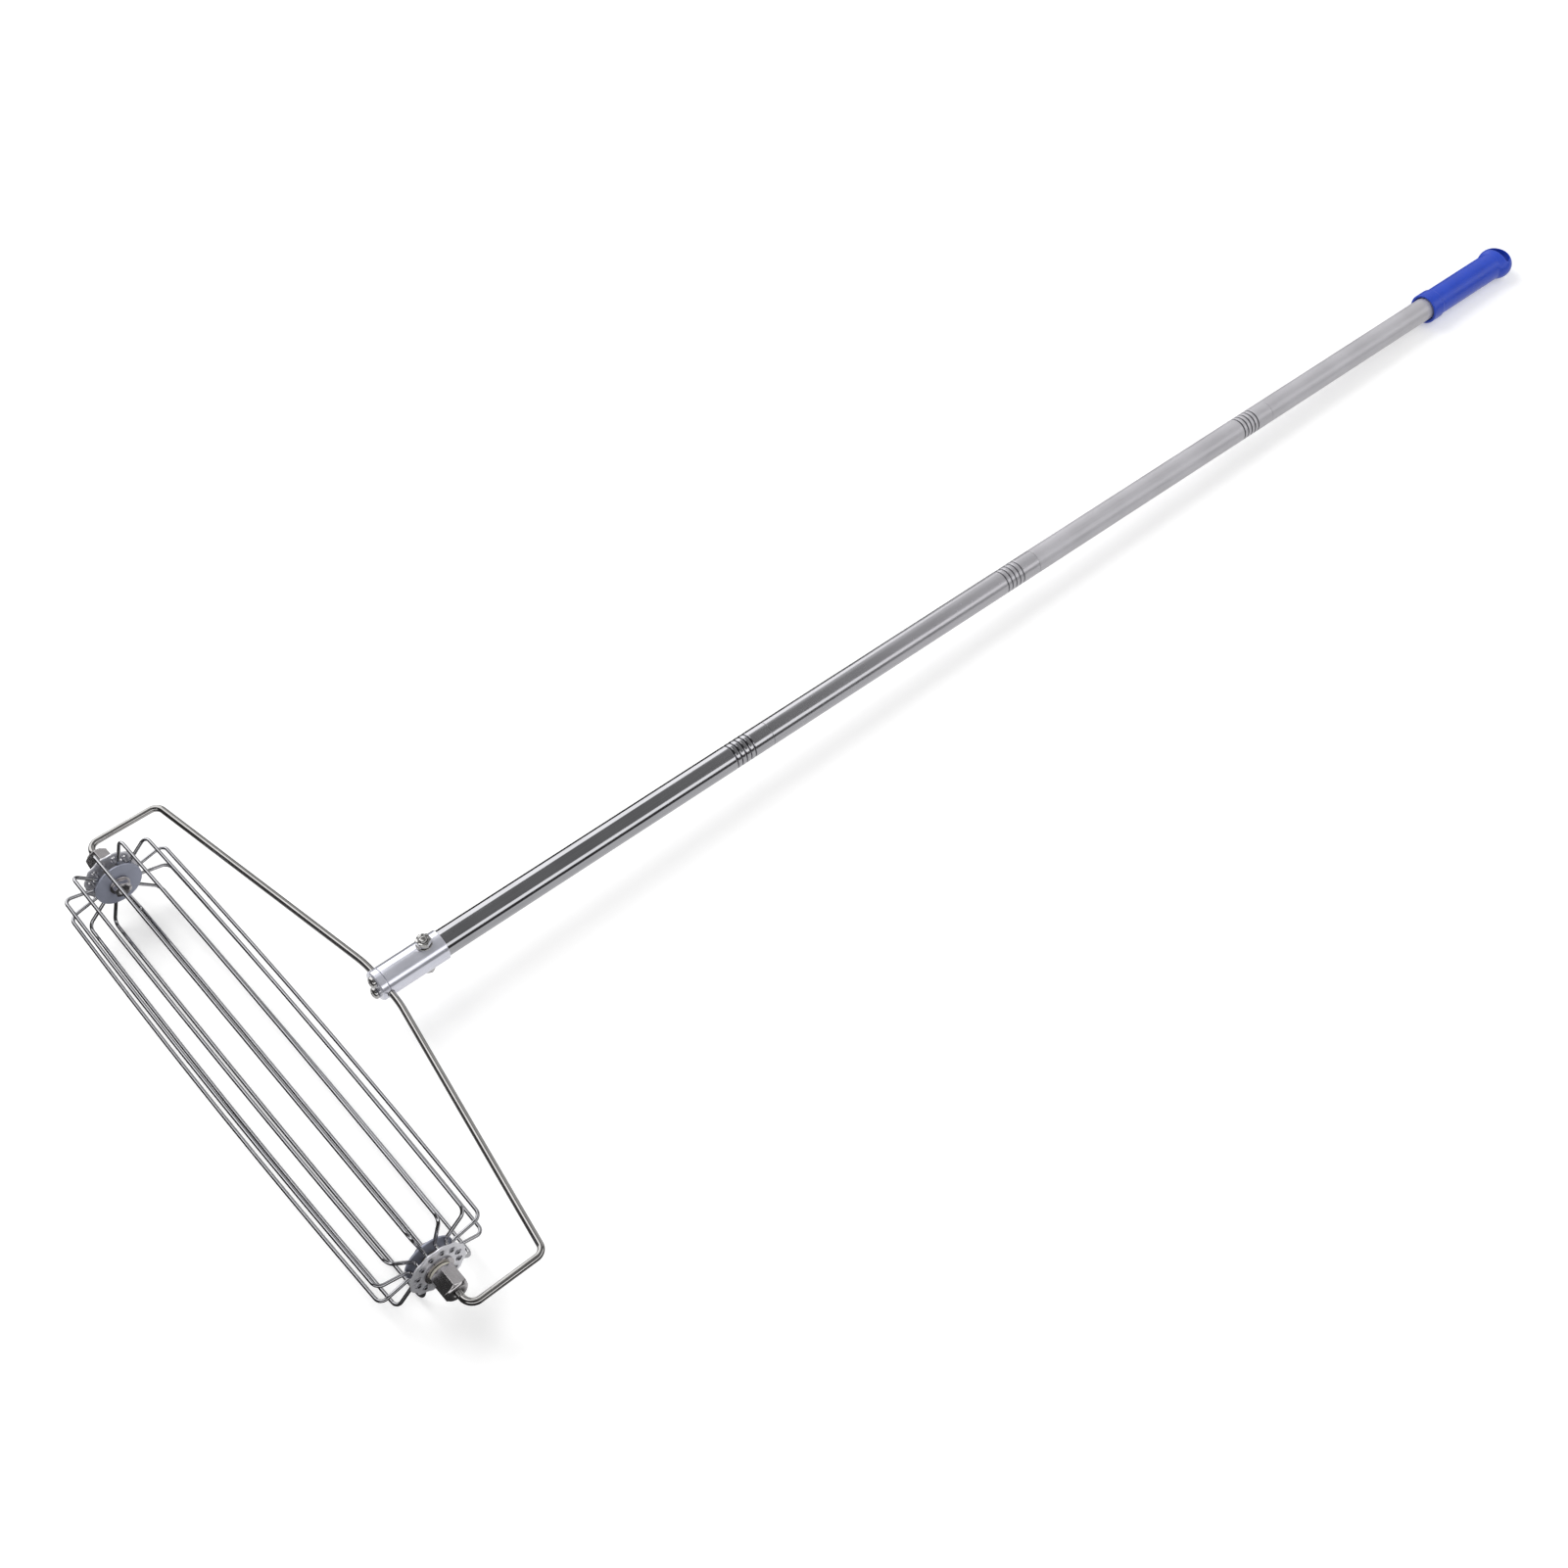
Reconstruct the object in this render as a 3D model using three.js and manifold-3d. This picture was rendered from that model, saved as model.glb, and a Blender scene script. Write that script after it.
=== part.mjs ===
// A hand-pushed roller gatherer: a drum of bowed spring wires turns between two
// hubs, a bent-rod yoke carries the hubs, and a clamp holds the yoke on a pole of
// four screwed tubes that ends in a plastic grip.
//
// Millimetres, +Z up. X runs along the drum's axle and Y from the drum to the grip.
// The part stands as it lies on a floor: on the drum's lowest wire and on the grip's
// knob. The origin is under the middle of its bounding box, on that floor.

import * as THREE from 'three';
import { mergeVertices } from 'three/addons/utils/BufferGeometryUtils.js';
import Module from 'manifold-3d';

// ---------------------------------------------------------------- driving sizes

// Clearances
const SEAT_GAP = 0.3; // between pieces that touch on the real object
const RUNNING_GAP = 0.3; // between the axle bolt and what turns round it

// Drum wires
const WIRE_COUNT = 12;
const WIRE_DIAMETER = 2.8;
const DRUM_LENGTH = 419.5; // from one set of spokes to the other
const DRUM_RADIUS = 44.2; // to the wires' centre line, beside their corners
const DRUM_BOW = 2.8; // how much further out the wires are at mid length
const SPOKE_BEND = 6; // radius of a wire's corner
const HOOK_RADIUS = 17; // distance of the hooked ends from the axle
const HOOK_BEND = 3;
const HOOK_PROUD = 1; // how far a hooked end stands out of its plate
const DRUM_TURN_DEG = -3; // how far the drum has rolled from standing on two wires

// Hubs
const OUTER_PLATE_THICKNESS = 1.5;
const OUTER_PLATE_RIM = 5.6; // material outside the ring of hooked ends
const SCALLOP_DEPTH = 0.5;
const SLOT_PLAY = 2.1; // extra length of a slot along the spoke
const INNER_PLATE_THICKNESS = 1.5;
const INNER_PLATE_RIM = 2.5;
const BUSH_LENGTH = 8.55;
const BUSH_WALL = 2.8;
const AXLE_DIAMETER = 7.8;
const AXLE_HEAD_FLATS = 13;
const AXLE_HEAD_HEIGHT = 5.3;
const HEAD_WASHER_DIAMETER = 17;
const HEAD_WASHER_THICKNESS = 1.5;
const THRUST_WASHER_DIAMETER = 24;
const THRUST_WASHER_THICKNESS = 1.5;
const SPACER_DIAMETER = 17;
const SPACER_THICKNESS = 1.8;
const COUPLING_FLATS = 18;
const COUPLING_LENGTH = 19.1;
const COUPLING_CHAMFER = 3; // length of the rounded outer end
const COUPLING_NOSE = 7.2; // radius of the outer end's flat
const COUPLING_CORNER_DEG = 35; // where one corner of the hexagon points
const AXLE_ENGAGEMENT = 9.6; // thread length of the axle bolt in the coupling

// Yoke rod
const ROD_DIAMETER = 5.5;
const ROD_ENGAGEMENT = 8; // thread length of the rod in the coupling
const LEG_STANDOFF = 13; // from the coupling's end to the leg's centre line
const LEG_HEIGHT = 62; // from the axle to the corner of leg and arm
const FLAT_HEIGHT = 102.4; // from the axle to the rod's straight middle
const FLAT_HALF_LENGTH = 22; // from the middle to where the arms' lines start
const LOWER_BEND = 9;
const CORNER_BEND = 8;
const FLAT_BEND = 100;

// Clamp
const CLAMP_WALL = 1.1;
const PARTING_RISE = 0.7; // from the rod's centre line up to the parting plane
const CAP_LENGTH = 6.5;
const CAP_CHAMFER = 1;
const WEB_LENGTH = 11.9; // solid metal between the parting plane and the tube
const SOCKET_DEPTH = 40.85; // how deep the tube goes in
const CAP_SCREW_DIAMETER = 4;
const CAP_SCREW_WALL = 1.65; // metal between the rod's groove and a screw hole
const CAP_SCREW_HEAD_DIAMETER = 9.6;
const CAP_SCREW_HEAD_HEIGHT = 3.8;
const CAP_SCREW_END_WALL = 2; // metal left between a screw hole and the tube
const RECESS_LENGTH = 5.4;
const RECESS_WIDTH = 1.3;
const RECESS_DEPTH = 1.6;
const CROSS_BOLT_DIAMETER = 6;
const CROSS_BOLT_FROM_END = 14; // from the sleeve's end to the bolt
const CROSS_BOLT_PROUD = 0.6; // how far the bolt's end stands out of its nut
const CROSS_NUT_FLATS = 11;
const CROSS_NUT_HEIGHT = 5;
const CROSS_HEAD_FLATS = 10;
const CROSS_HEAD_HEIGHT = 4;
const CROSS_WASHER_DIAMETER = 13;
const CROSS_WASHER_THICKNESS = 1.2;

// Pole
const TUBE_DIAMETER = 22;
const TUBE_WALL = 1.2;
const FIRST_SECTION_LENGTH = 363.4;
const MIDDLE_SECTION_LENGTH = 306.2;
const LAST_SECTION_LENGTH = 322;
const SECTION_COUNT = 4;
const GROOVE_COUNT = 5;
const GROOVE_PITCH = 4.7;
const GROOVE_OFFSET = 19.5; // from the end of a section to its first groove
const GROOVE_DEPTH = 0.7;
const GROOVE_WIDTH = 2.6;
const PLUG_MARGIN = 6; // plug left beyond the last groove
const STUD_DIAMETER = 10;
const STUD_LENGTH = 24;
const STUD_PLUG_LENGTH = 34;

// Grip
const GRIP_ON_TUBE = 87; // how far the grip goes down over the tube
const BARREL_WALL = 2.2;
const BEAD_WALL = 3.45;
const BEAD_LENGTH = 15;
const MOUTH_PLAY = 1.6; // widening of the bore at the mouth
const MOUTH_DEPTH = 2.5;
const KNOB_DIAMETER = 34;
const KNOB_THICKNESS = 28; // along the hanging hole
const KNOB_BEYOND_TUBE = 26; // from the tube's end to the knob's centre
const KNOB_ENGAGEMENT = 3; // from the barrel's end to the knob's centre
const HOLE_WALL = 4.4; // plastic between the hanging hole and the knob's tip
const HOLE_CORNER = 2;

// Facets
const WIRE_SIDES = 8;
const ROD_SIDES = 12;
const TUBE_SEGMENTS = 20;
const SMALL_SEGMENTS = 16;
const PLUG_SEGMENTS = 12;
const GRIP_SEGMENTS = 28;

// -------------------------------------------------------- places along the axes

const wireRadius = WIRE_DIAMETER / 2;
const spokeX = DRUM_LENGTH / 2;

// Right-hand hub, outwards along X. The left-hand hub is its mirror image.
const innerPlate = [spokeX - wireRadius - SEAT_GAP - INNER_PLATE_THICKNESS, spokeX - wireRadius - SEAT_GAP];
const headWasher = [innerPlate[0] - SEAT_GAP - HEAD_WASHER_THICKNESS, innerPlate[0] - SEAT_GAP];
const axleHead = [headWasher[0] - SEAT_GAP - AXLE_HEAD_HEIGHT, headWasher[0] - SEAT_GAP];
const bush = [innerPlate[1] + SEAT_GAP, innerPlate[1] + SEAT_GAP + BUSH_LENGTH];
const outerPlate = [bush[1] + SEAT_GAP, bush[1] + SEAT_GAP + OUTER_PLATE_THICKNESS];
const thrustWasher = [outerPlate[1] + SEAT_GAP, outerPlate[1] + SEAT_GAP + THRUST_WASHER_THICKNESS];
const spacer = [thrustWasher[1] + SEAT_GAP, thrustWasher[1] + SEAT_GAP + SPACER_THICKNESS];
const coupling = [spacer[1] + SEAT_GAP, spacer[1] + SEAT_GAP + COUPLING_LENGTH];
const hookEndX = outerPlate[1] + HOOK_PROUD;
const axleRadius = AXLE_DIAMETER / 2;
const axleBoreRadius = axleRadius + RUNNING_GAP;
const axleEndX = coupling[0] + AXLE_ENGAGEMENT;
const rodEndX = coupling[1] - ROD_ENGAGEMENT;
const legX = coupling[1] + LEG_STANDOFF;

// Clamp and pole, along Y from the axle.
const rodRadius = ROD_DIAMETER / 2;
const grooveRadius = rodRadius + SEAT_GAP;
const partingY = FLAT_HEIGHT + PARTING_RISE;
const capTopY = partingY - SEAT_GAP / 2;
const capBottomY = capTopY - CAP_LENGTH;
const sleeveBottomY = partingY + SEAT_GAP / 2;
const socketFloorY = sleeveBottomY + WEB_LENGTH;
const sleeveTopY = socketFloorY + SOCKET_DEPTH;
const tubeRadius = TUBE_DIAMETER / 2;
const tubeBoreRadius = tubeRadius - TUBE_WALL;
const socketRadius = tubeRadius + SEAT_GAP;
const clampRadius = socketRadius + CLAMP_WALL;
const capScrewRadius = CAP_SCREW_DIAMETER / 2;
const capScrewHoleRadius = capScrewRadius + SEAT_GAP;
const capScrewOffset = grooveRadius + CAP_SCREW_WALL + capScrewHoleRadius;
const crossBoltY = sleeveTopY - CROSS_BOLT_FROM_END;
const crossBoltRadius = CROSS_BOLT_DIAMETER / 2;
const crossHoleRadius = crossBoltRadius + SEAT_GAP;
const poleStartY = socketFloorY + SEAT_GAP;
const firstJointY = poleStartY + FIRST_SECTION_LENGTH;
const jointsY = Array.from({ length: SECTION_COUNT - 1 }, (_, k) => firstJointY + k * MIDDLE_SECTION_LENGTH);
const poleEndY = jointsY[SECTION_COUNT - 2] + LAST_SECTION_LENGTH;

// Grip, along Y.
const gripMouthY = poleEndY - GRIP_ON_TUBE;
const gripBoreEndY = poleEndY + SEAT_GAP;
const gripBoreRadius = tubeRadius + SEAT_GAP;
const mouthRadius = gripBoreRadius + MOUTH_PLAY;
const barrelRadius = gripBoreRadius + BARREL_WALL;
const beadRadius = gripBoreRadius + BEAD_WALL;
const knobRadius = KNOB_DIAMETER / 2;
const knobY = poleEndY + KNOB_BEYOND_TUBE;

// How the part lies: the drum's lowest wire and the knob on the floor.
const halfWireStep = Math.PI / WIRE_COUNT;
const drumTurn = THREE.MathUtils.degToRad(DRUM_TURN_DEG);
const lowestWire = halfWireStep - Math.abs(drumTurn); // from straight under the axle
const axleHeight = (DRUM_RADIUS + DRUM_BOW) * Math.cos(lowestWire) + wireRadius;
const poleSlope = Math.asin((axleHeight - KNOB_THICKNESS / 2) / knobY);

// -------------------------------------------------------------------- materials

const finish = (color, roughness, metalness) => ({ color, roughness, metalness });
const FINISHES = {
  wire: finish(0xc9cacc, 0.22, 1),
  plate: finish(0xb4b7bd, 0.34, 1),
  innerPlate: finish(0x8f98ad, 0.4, 1),
  brass: finish(0xa9a08c, 0.4, 1),
  zinc: finish(0xb9b6b2, 0.38, 1),
  nylon: finish(0xe6e0cf, 0.45, 0),
  rod: finish(0xbdbcbf, 0.24, 1),
  clamp: finish(0xb7b8c2, 0.3, 1),
  screw: finish(0xc4c4c6, 0.2, 1),
  lowerTube: finish(0x9c9ea3, 0.16, 1),
  upperTube: finish(0xb3b3b7, 0.3, 1),
  plug: finish(0x9a9ca2, 0.45, 1),
  grip: finish(0x3546ad, 0.36, 0),
};

// ---------------------------------------------------------------- solid helpers

const wasm = await Module();
wasm.setup();

const UNIT_X = new THREE.Vector3(1, 0, 0);
const UNIT_Y = new THREE.Vector3(0, 1, 0);
const UNIT_Z = new THREE.Vector3(0, 0, 1);
const TURNED_ABOUT_X = new THREE.Matrix4().makeBasis(UNIT_Z, UNIT_X, UNIT_Y);
const TURNED_ABOUT_Z = new THREE.Matrix4().makeBasis(UNIT_Y, UNIT_Z, UNIT_X);
const EXTRUDED_ALONG_X = TURNED_ABOUT_Z;

/** Six times the signed volume under one triangle of an indexed geometry. */
function cornerVolume(position, a, b, c) {
  const [p, q, r] = [a, b, c].map((i) => new THREE.Vector3().fromBufferAttribute(position, i));
  return p.dot(q.cross(r));
}

/** The geometry as one closed skin: corners shared, slivers gone, faces pointing out. */
function closed(source) {
  const bare = source.clone();
  bare.deleteAttribute('normal');
  bare.deleteAttribute('uv');
  const merged = mergeVertices(bare);
  const corners = merged.index.array;
  const kept = [];
  let volume = 0;
  for (let i = 0; i < corners.length; i += 3) {
    const [a, b, c] = [corners[i], corners[i + 1], corners[i + 2]];
    if (a === b || b === c || c === a) {
      continue;
    }
    kept.push(a, b, c);
    volume += cornerVolume(merged.attributes.position, a, b, c);
  }
  if (volume < 0) {
    kept.reverse();
  }
  merged.setIndex(kept);
  merged.computeVertexNormals();
  return merged;
}

/** A solid that can be joined and cut. */
function solid(geometry) {
  const skin = closed(geometry);
  const vertProperties = new Float32Array(skin.attributes.position.array);
  const triVerts = new Uint32Array(skin.index.array);
  return new wasm.Manifold(new wasm.Mesh({ numProp: 3, vertProperties, triVerts }));
}

/** The geometry of a joined or cut solid. */
function geometryOf(body) {
  const mesh = body.getMesh();
  const geometry = new THREE.BufferGeometry();
  geometry.setAttribute('position', new THREE.BufferAttribute(mesh.vertProperties, 3));
  geometry.setIndex(Array.from(mesh.triVerts));
  return closed(geometry);
}

/** A body turned about Y from [radius, height] points. */
function turned(profile, segments = SMALL_SEGMENTS) {
  const points = profile.map(([radius, along]) => new THREE.Vector2(radius, along));
  if (profile[0][0] > 0) {
    points.push(points[0].clone());
  }
  return new THREE.LatheGeometry(points, segments);
}

/** A plain ring profile between two heights. */
function ringProfile(innerRadius, outerRadius, [from, to]) {
  return [[innerRadius, from], [outerRadius, from], [outerRadius, to], [innerRadius, to]];
}

/** A plain solid rod profile between two heights. */
function rodProfile(radius, [from, to]) {
  return [[0, from], [radius, from], [radius, to], [0, to]];
}

/** A body turned about the axle, on the right-hand (1) or left-hand (-1) side. */
function turnedOnAxle(profile, side, segments = SMALL_SEGMENTS) {
  const placed = profile.map(([radius, along]) => [radius, side * along]);
  return turned(placed, segments).applyMatrix4(TURNED_ABOUT_X);
}

/** A body turned about the cross bolt's axis, measured along Z. */
function turnedOnCrossBolt(profile, segments = SMALL_SEGMENTS) {
  return turned(profile, segments).applyMatrix4(TURNED_ABOUT_Z).translate(0, crossBoltY, 0);
}

/** A regular hexagon with one corner at the given angle. */
function hexagon(flats, cornerDeg) {
  const shape = new THREE.Shape();
  const corner = THREE.MathUtils.degToRad(cornerDeg);
  const radius = flats / Math.sqrt(3);
  for (let k = 0; k < 6; k += 1) {
    const angle = corner + (k * Math.PI) / 3;
    shape[k === 0 ? 'moveTo' : 'lineTo'](radius * Math.cos(angle), radius * Math.sin(angle));
  }
  shape.closePath();
  return shape;
}

/** A shape in the YZ plane made thick along X, on one side of the drum. */
function extrudedOnAxle(shape, [from, to], side) {
  const geometry = new THREE.ExtrudeGeometry(shape, { depth: to - from, bevelEnabled: false });
  geometry.applyMatrix4(EXTRUDED_ALONG_X);
  return geometry.translate(side > 0 ? from : -to, 0, 0);
}

/** A hexagonal body with its corners cut back by a turned profile. */
function chamferedHexagon(hexagonGeometry, turnedGeometry) {
  return solid(hexagonGeometry).intersect(solid(turnedGeometry));
}

/** Turned profile that rounds the corners of a hexagon at one or both ends. */
function chamferProfile(flats, [from, to], [chamferFrom, chamferTo]) {
  const flat = flats / 2;
  const corner = (flats / Math.sqrt(3)) * 1.02;
  return [
    [0, from],
    [chamferFrom ? flat : corner, from],
    [corner, from + (chamferFrom ? chamferDrop(flats) : 0)],
    [corner, to - (chamferTo ? chamferDrop(flats) : 0)],
    [chamferTo ? flat : corner, to],
    [0, to],
  ].filter(([radius, along], k, all) => k === 0 || radius !== all[k - 1][0] || along !== all[k - 1][1]);
}

/** Height of the thirty-degree chamfer on a hexagon's corners. */
function chamferDrop(flats) {
  return ((flats / Math.sqrt(3)) * 1.02 - flats / 2) * Math.tan(Math.PI / 6);
}

// ----------------------------------------------------------- bent rods and wires

/** A path through chosen stations, so that bends get more steps than straights. */
class StationCurve extends THREE.Curve {
  constructor(stations) {
    super();
    this.stations = stations;
  }

  station(u) {
    return this.stations[Math.round(u * (this.stations.length - 1))];
  }

  getPointAt(u, target = new THREE.Vector3()) {
    return target.copy(this.station(u).point);
  }

  getTangentAt(u, target = new THREE.Vector3()) {
    return target.copy(this.station(u).tangent);
  }
}

/** Stations round one bend, from its first to its last tangent point. */
function bendStations(before, corner, after, radius, steps) {
  const inward = corner.clone().sub(before).normalize();
  const outward = after.clone().sub(corner).normalize();
  const angle = inward.angleTo(outward);
  const turn = new THREE.Vector3().crossVectors(inward, outward).normalize();
  const start = corner.clone().addScaledVector(inward, -radius * Math.tan(angle / 2));
  const centre = turn.clone().cross(inward).multiplyScalar(radius).add(start);
  return Array.from({ length: steps + 1 }, (_, k) => {
    const swing = (angle * k) / steps;
    const spoke = start.clone().sub(centre).applyAxisAngle(turn, swing);
    return { point: centre.clone().add(spoke), tangent: inward.clone().applyAxisAngle(turn, swing) };
  });
}

/** Stations of a rod in the XY plane: corners hold [x, y, bend radius, bend steps]. */
function rodStations(corners) {
  const points = corners.map(([x, y]) => new THREE.Vector3(x, y, 0));
  const last = points.length - 1;
  const stations = [{ point: points[0], tangent: points[1].clone().sub(points[0]).normalize() }];
  for (let k = 1; k < last; k += 1) {
    stations.push(...bendStations(points[k - 1], points[k], points[k + 1], corners[k][2], corners[k][3]));
  }
  stations.push({ point: points[last], tangent: points[last].clone().sub(points[last - 1]).normalize() });
  return stations;
}

/** A round bar along stations, with flat ends. */
function bar(stations, radius, sides) {
  const section = new THREE.Shape();
  for (let k = 0; k < sides; k += 1) {
    const angle = (2 * Math.PI * k) / sides;
    section[k === 0 ? 'moveTo' : 'lineTo'](radius * Math.cos(angle), radius * Math.sin(angle));
  }
  section.closePath();
  const extrudePath = new StationCurve(stations);
  return new THREE.ExtrudeGeometry(section, { steps: stations.length - 1, extrudePath });
}

/** The right-hand half of a rod's corners followed by their mirror image. */
function mirrored(corners, middle) {
  const left = corners.map(([x, ...rest]) => [-x, ...rest]).reverse();
  return [...corners, ...middle, ...left];
}

// ------------------------------------------------------------------------ pieces

/** One drum wire, in the plane where Y is its distance from the axle. */
function drumWire() {
  const bendSteps = 3;
  const bowSteps = 6;
  const stations = rodStations(mirrored([
    [hookEndX, HOOK_RADIUS],
    [spokeX, HOOK_RADIUS, HOOK_BEND, bendSteps],
    [spokeX, DRUM_RADIUS, SPOKE_BEND, bendSteps],
  ], []));
  const runEnd = spokeX - SPOKE_BEND;
  const middle = stations.length / 2;
  const bowed = Array.from({ length: bowSteps - 1 }, (_, k) => {
    const x = runEnd * (1 - (2 * (k + 1)) / bowSteps);
    const y = DRUM_RADIUS + DRUM_BOW * (1 - (x / runEnd) ** 2);
    const slope = (2 * DRUM_BOW * x) / runEnd ** 2;
    return { point: new THREE.Vector3(x, y, 0), tangent: new THREE.Vector3(-1, slope, 0).normalize() };
  });
  stations.splice(middle, 0, ...bowed);
  return closed(bar(stations, wireRadius, WIRE_SIDES));
}

/** A slot for one hooked wire end, long along the spoke. */
function hookSlot(angle) {
  const halfWidth = wireRadius + SEAT_GAP;
  const halfLength = halfWidth + SLOT_PLAY / 2;
  const cut = halfWidth * 0.55;
  const slot = new THREE.Path();
  const outline = [
    [halfLength, cut], [halfLength - halfWidth + cut, halfWidth],
    [-halfLength + halfWidth - cut, halfWidth], [-halfLength, cut],
    [-halfLength, -cut], [-halfLength + halfWidth - cut, -halfWidth],
    [halfLength - halfWidth + cut, -halfWidth], [halfLength, -cut],
  ];
  outline.forEach(([radial, across], k) => {
    const distance = HOOK_RADIUS + radial;
    const x = distance * Math.cos(angle) - across * Math.sin(angle);
    const y = distance * Math.sin(angle) + across * Math.cos(angle);
    slot[k === 0 ? 'moveTo' : 'lineTo'](x, y);
  });
  slot.closePath();
  return slot;
}

/** Outer hub plate: a scalloped disc with a slot for each wire. */
function outerHubPlate(side) {
  const disc = new THREE.Shape();
  const steps = WIRE_COUNT * 4;
  const rim = HOOK_RADIUS + OUTER_PLATE_RIM;
  for (let k = 0; k < steps; k += 1) {
    const angle = (2 * Math.PI * k) / steps;
    const radius = rim - SCALLOP_DEPTH * Math.cos(WIRE_COUNT * angle);
    disc[k === 0 ? 'moveTo' : 'lineTo'](radius * Math.cos(angle), radius * Math.sin(angle));
  }
  disc.closePath();
  const bore = new THREE.Path();
  for (let k = 0; k < SMALL_SEGMENTS; k += 1) {
    const angle = (-2 * Math.PI * k) / SMALL_SEGMENTS;
    bore[k === 0 ? 'moveTo' : 'lineTo'](axleBoreRadius * Math.cos(angle), axleBoreRadius * Math.sin(angle));
  }
  bore.closePath();
  disc.holes.push(bore);
  for (let k = 0; k < WIRE_COUNT; k += 1) {
    disc.holes.push(hookSlot((2 * k + 1) * halfWireStep));
  }
  return closed(extrudedOnAxle(disc, outerPlate, side));
}

/** A plain ring round the axle. */
function axleRing(outerRadius, span, side, segments = SMALL_SEGMENTS) {
  return closed(turnedOnAxle(ringProfile(axleBoreRadius, outerRadius, span), side, segments));
}

/** Axle bolt: a hexagonal head inside the drum and a shank out through the hub. */
function axleBolt(side) {
  const head = chamferedHexagon(
    extrudedOnAxle(hexagon(AXLE_HEAD_FLATS, COUPLING_CORNER_DEG), axleHead, side),
    turnedOnAxle(chamferProfile(AXLE_HEAD_FLATS, axleHead, [true, false]), side, TUBE_SEGMENTS),
  );
  const shank = solid(turnedOnAxle(rodProfile(axleRadius, [axleHead[0] + 1, axleEndX]), side));
  return geometryOf(head.add(shank));
}

/** Hexagonal coupling: takes the axle bolt at one end and the yoke rod at the other. */
function hexCoupling(side) {
  const [inner, outer] = coupling;
  const corner = (COUPLING_FLATS / Math.sqrt(3)) * 1.02;
  const shoulder = COUPLING_FLATS / 2;
  const outline = turnedOnAxle([
    [0, inner],
    [shoulder, inner],
    [corner, inner + chamferDrop(COUPLING_FLATS)],
    [corner, outer - COUPLING_CHAMFER],
    [shoulder, outer - COUPLING_CHAMFER * 0.62],
    [(shoulder + COUPLING_NOSE) / 2, outer - COUPLING_CHAMFER * 0.2],
    [COUPLING_NOSE, outer],
    [0, outer],
  ], side, TUBE_SEGMENTS);
  const prism = extrudedOnAxle(hexagon(COUPLING_FLATS, COUPLING_CORNER_DEG), coupling, side);
  const middle = (axleEndX + rodEndX) / 2;
  const axleHole = turnedOnAxle(rodProfile(axleBoreRadius, [inner - 1, middle]), side);
  const rodHole = turnedOnAxle(rodProfile(grooveRadius, [middle - 1, outer + 1]), side);
  return geometryOf(chamferedHexagon(prism, outline).subtract(solid(axleHole)).subtract(solid(rodHole)));
}

/** Corners of the yoke rod from its right-hand to its left-hand thread. */
const yokeCorners = mirrored([
  [rodEndX, 0],
  [legX, 0, LOWER_BEND, 6],
  [legX, LEG_HEIGHT, CORNER_BEND, 5],
  [FLAT_HALF_LENGTH, FLAT_HEIGHT, FLAT_BEND, 3],
], []);

/** The groove that the clamp's halves close round the yoke rod's straight middle. */
function rodGroove() {
  const reach = clampRadius + ROD_DIAMETER;
  const ends = mirrored([[reach, FLAT_HEIGHT]], []);
  return solid(bar(rodStations(ends), grooveRadius, ROD_SIDES));
}

/** A hole or rod along Y beside the pole's centre line. */
function offsetRod(radius, span, offsetZ) {
  return solid(turned(rodProfile(radius, span)).translate(0, 0, offsetZ));
}

/** A straight hole along Z for the cross bolt. */
function crossHole() {
  const reach = clampRadius + 1;
  return solid(turnedOnCrossBolt(rodProfile(crossHoleRadius, [-reach, reach])));
}

/** Clamp sleeve: socket for the tube, solid web, and half of the rod's groove. */
function clampSleeve() {
  const edge = CLAMP_WALL / 2;
  let body = solid(turned([
    [0, sleeveBottomY],
    [clampRadius, sleeveBottomY],
    [clampRadius, sleeveTopY - edge],
    [clampRadius - edge, sleeveTopY],
    [socketRadius, sleeveTopY],
    [socketRadius, socketFloorY],
    [0, socketFloorY],
  ], TUBE_SEGMENTS));
  body = body.subtract(rodGroove()).subtract(crossHole());
  for (const offset of [capScrewOffset, -capScrewOffset]) {
    const hole = [sleeveBottomY - 1, socketFloorY - CAP_SCREW_END_WALL];
    body = body.subtract(offsetRod(capScrewHoleRadius, hole, offset));
  }
  return geometryOf(body);
}

/** Clamp cap: closes the groove from below, drilled for the two screws. */
function clampCap() {
  let body = solid(turned([
    [0, capBottomY],
    [clampRadius - CAP_CHAMFER, capBottomY],
    [clampRadius, capBottomY + CAP_CHAMFER],
    [clampRadius, capTopY],
    [0, capTopY],
  ], TUBE_SEGMENTS));
  body = body.subtract(rodGroove());
  for (const offset of [capScrewOffset, -capScrewOffset]) {
    body = body.subtract(offsetRod(capScrewHoleRadius, [capBottomY - 1, capTopY + 1], offset));
  }
  return geometryOf(body);
}

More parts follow.
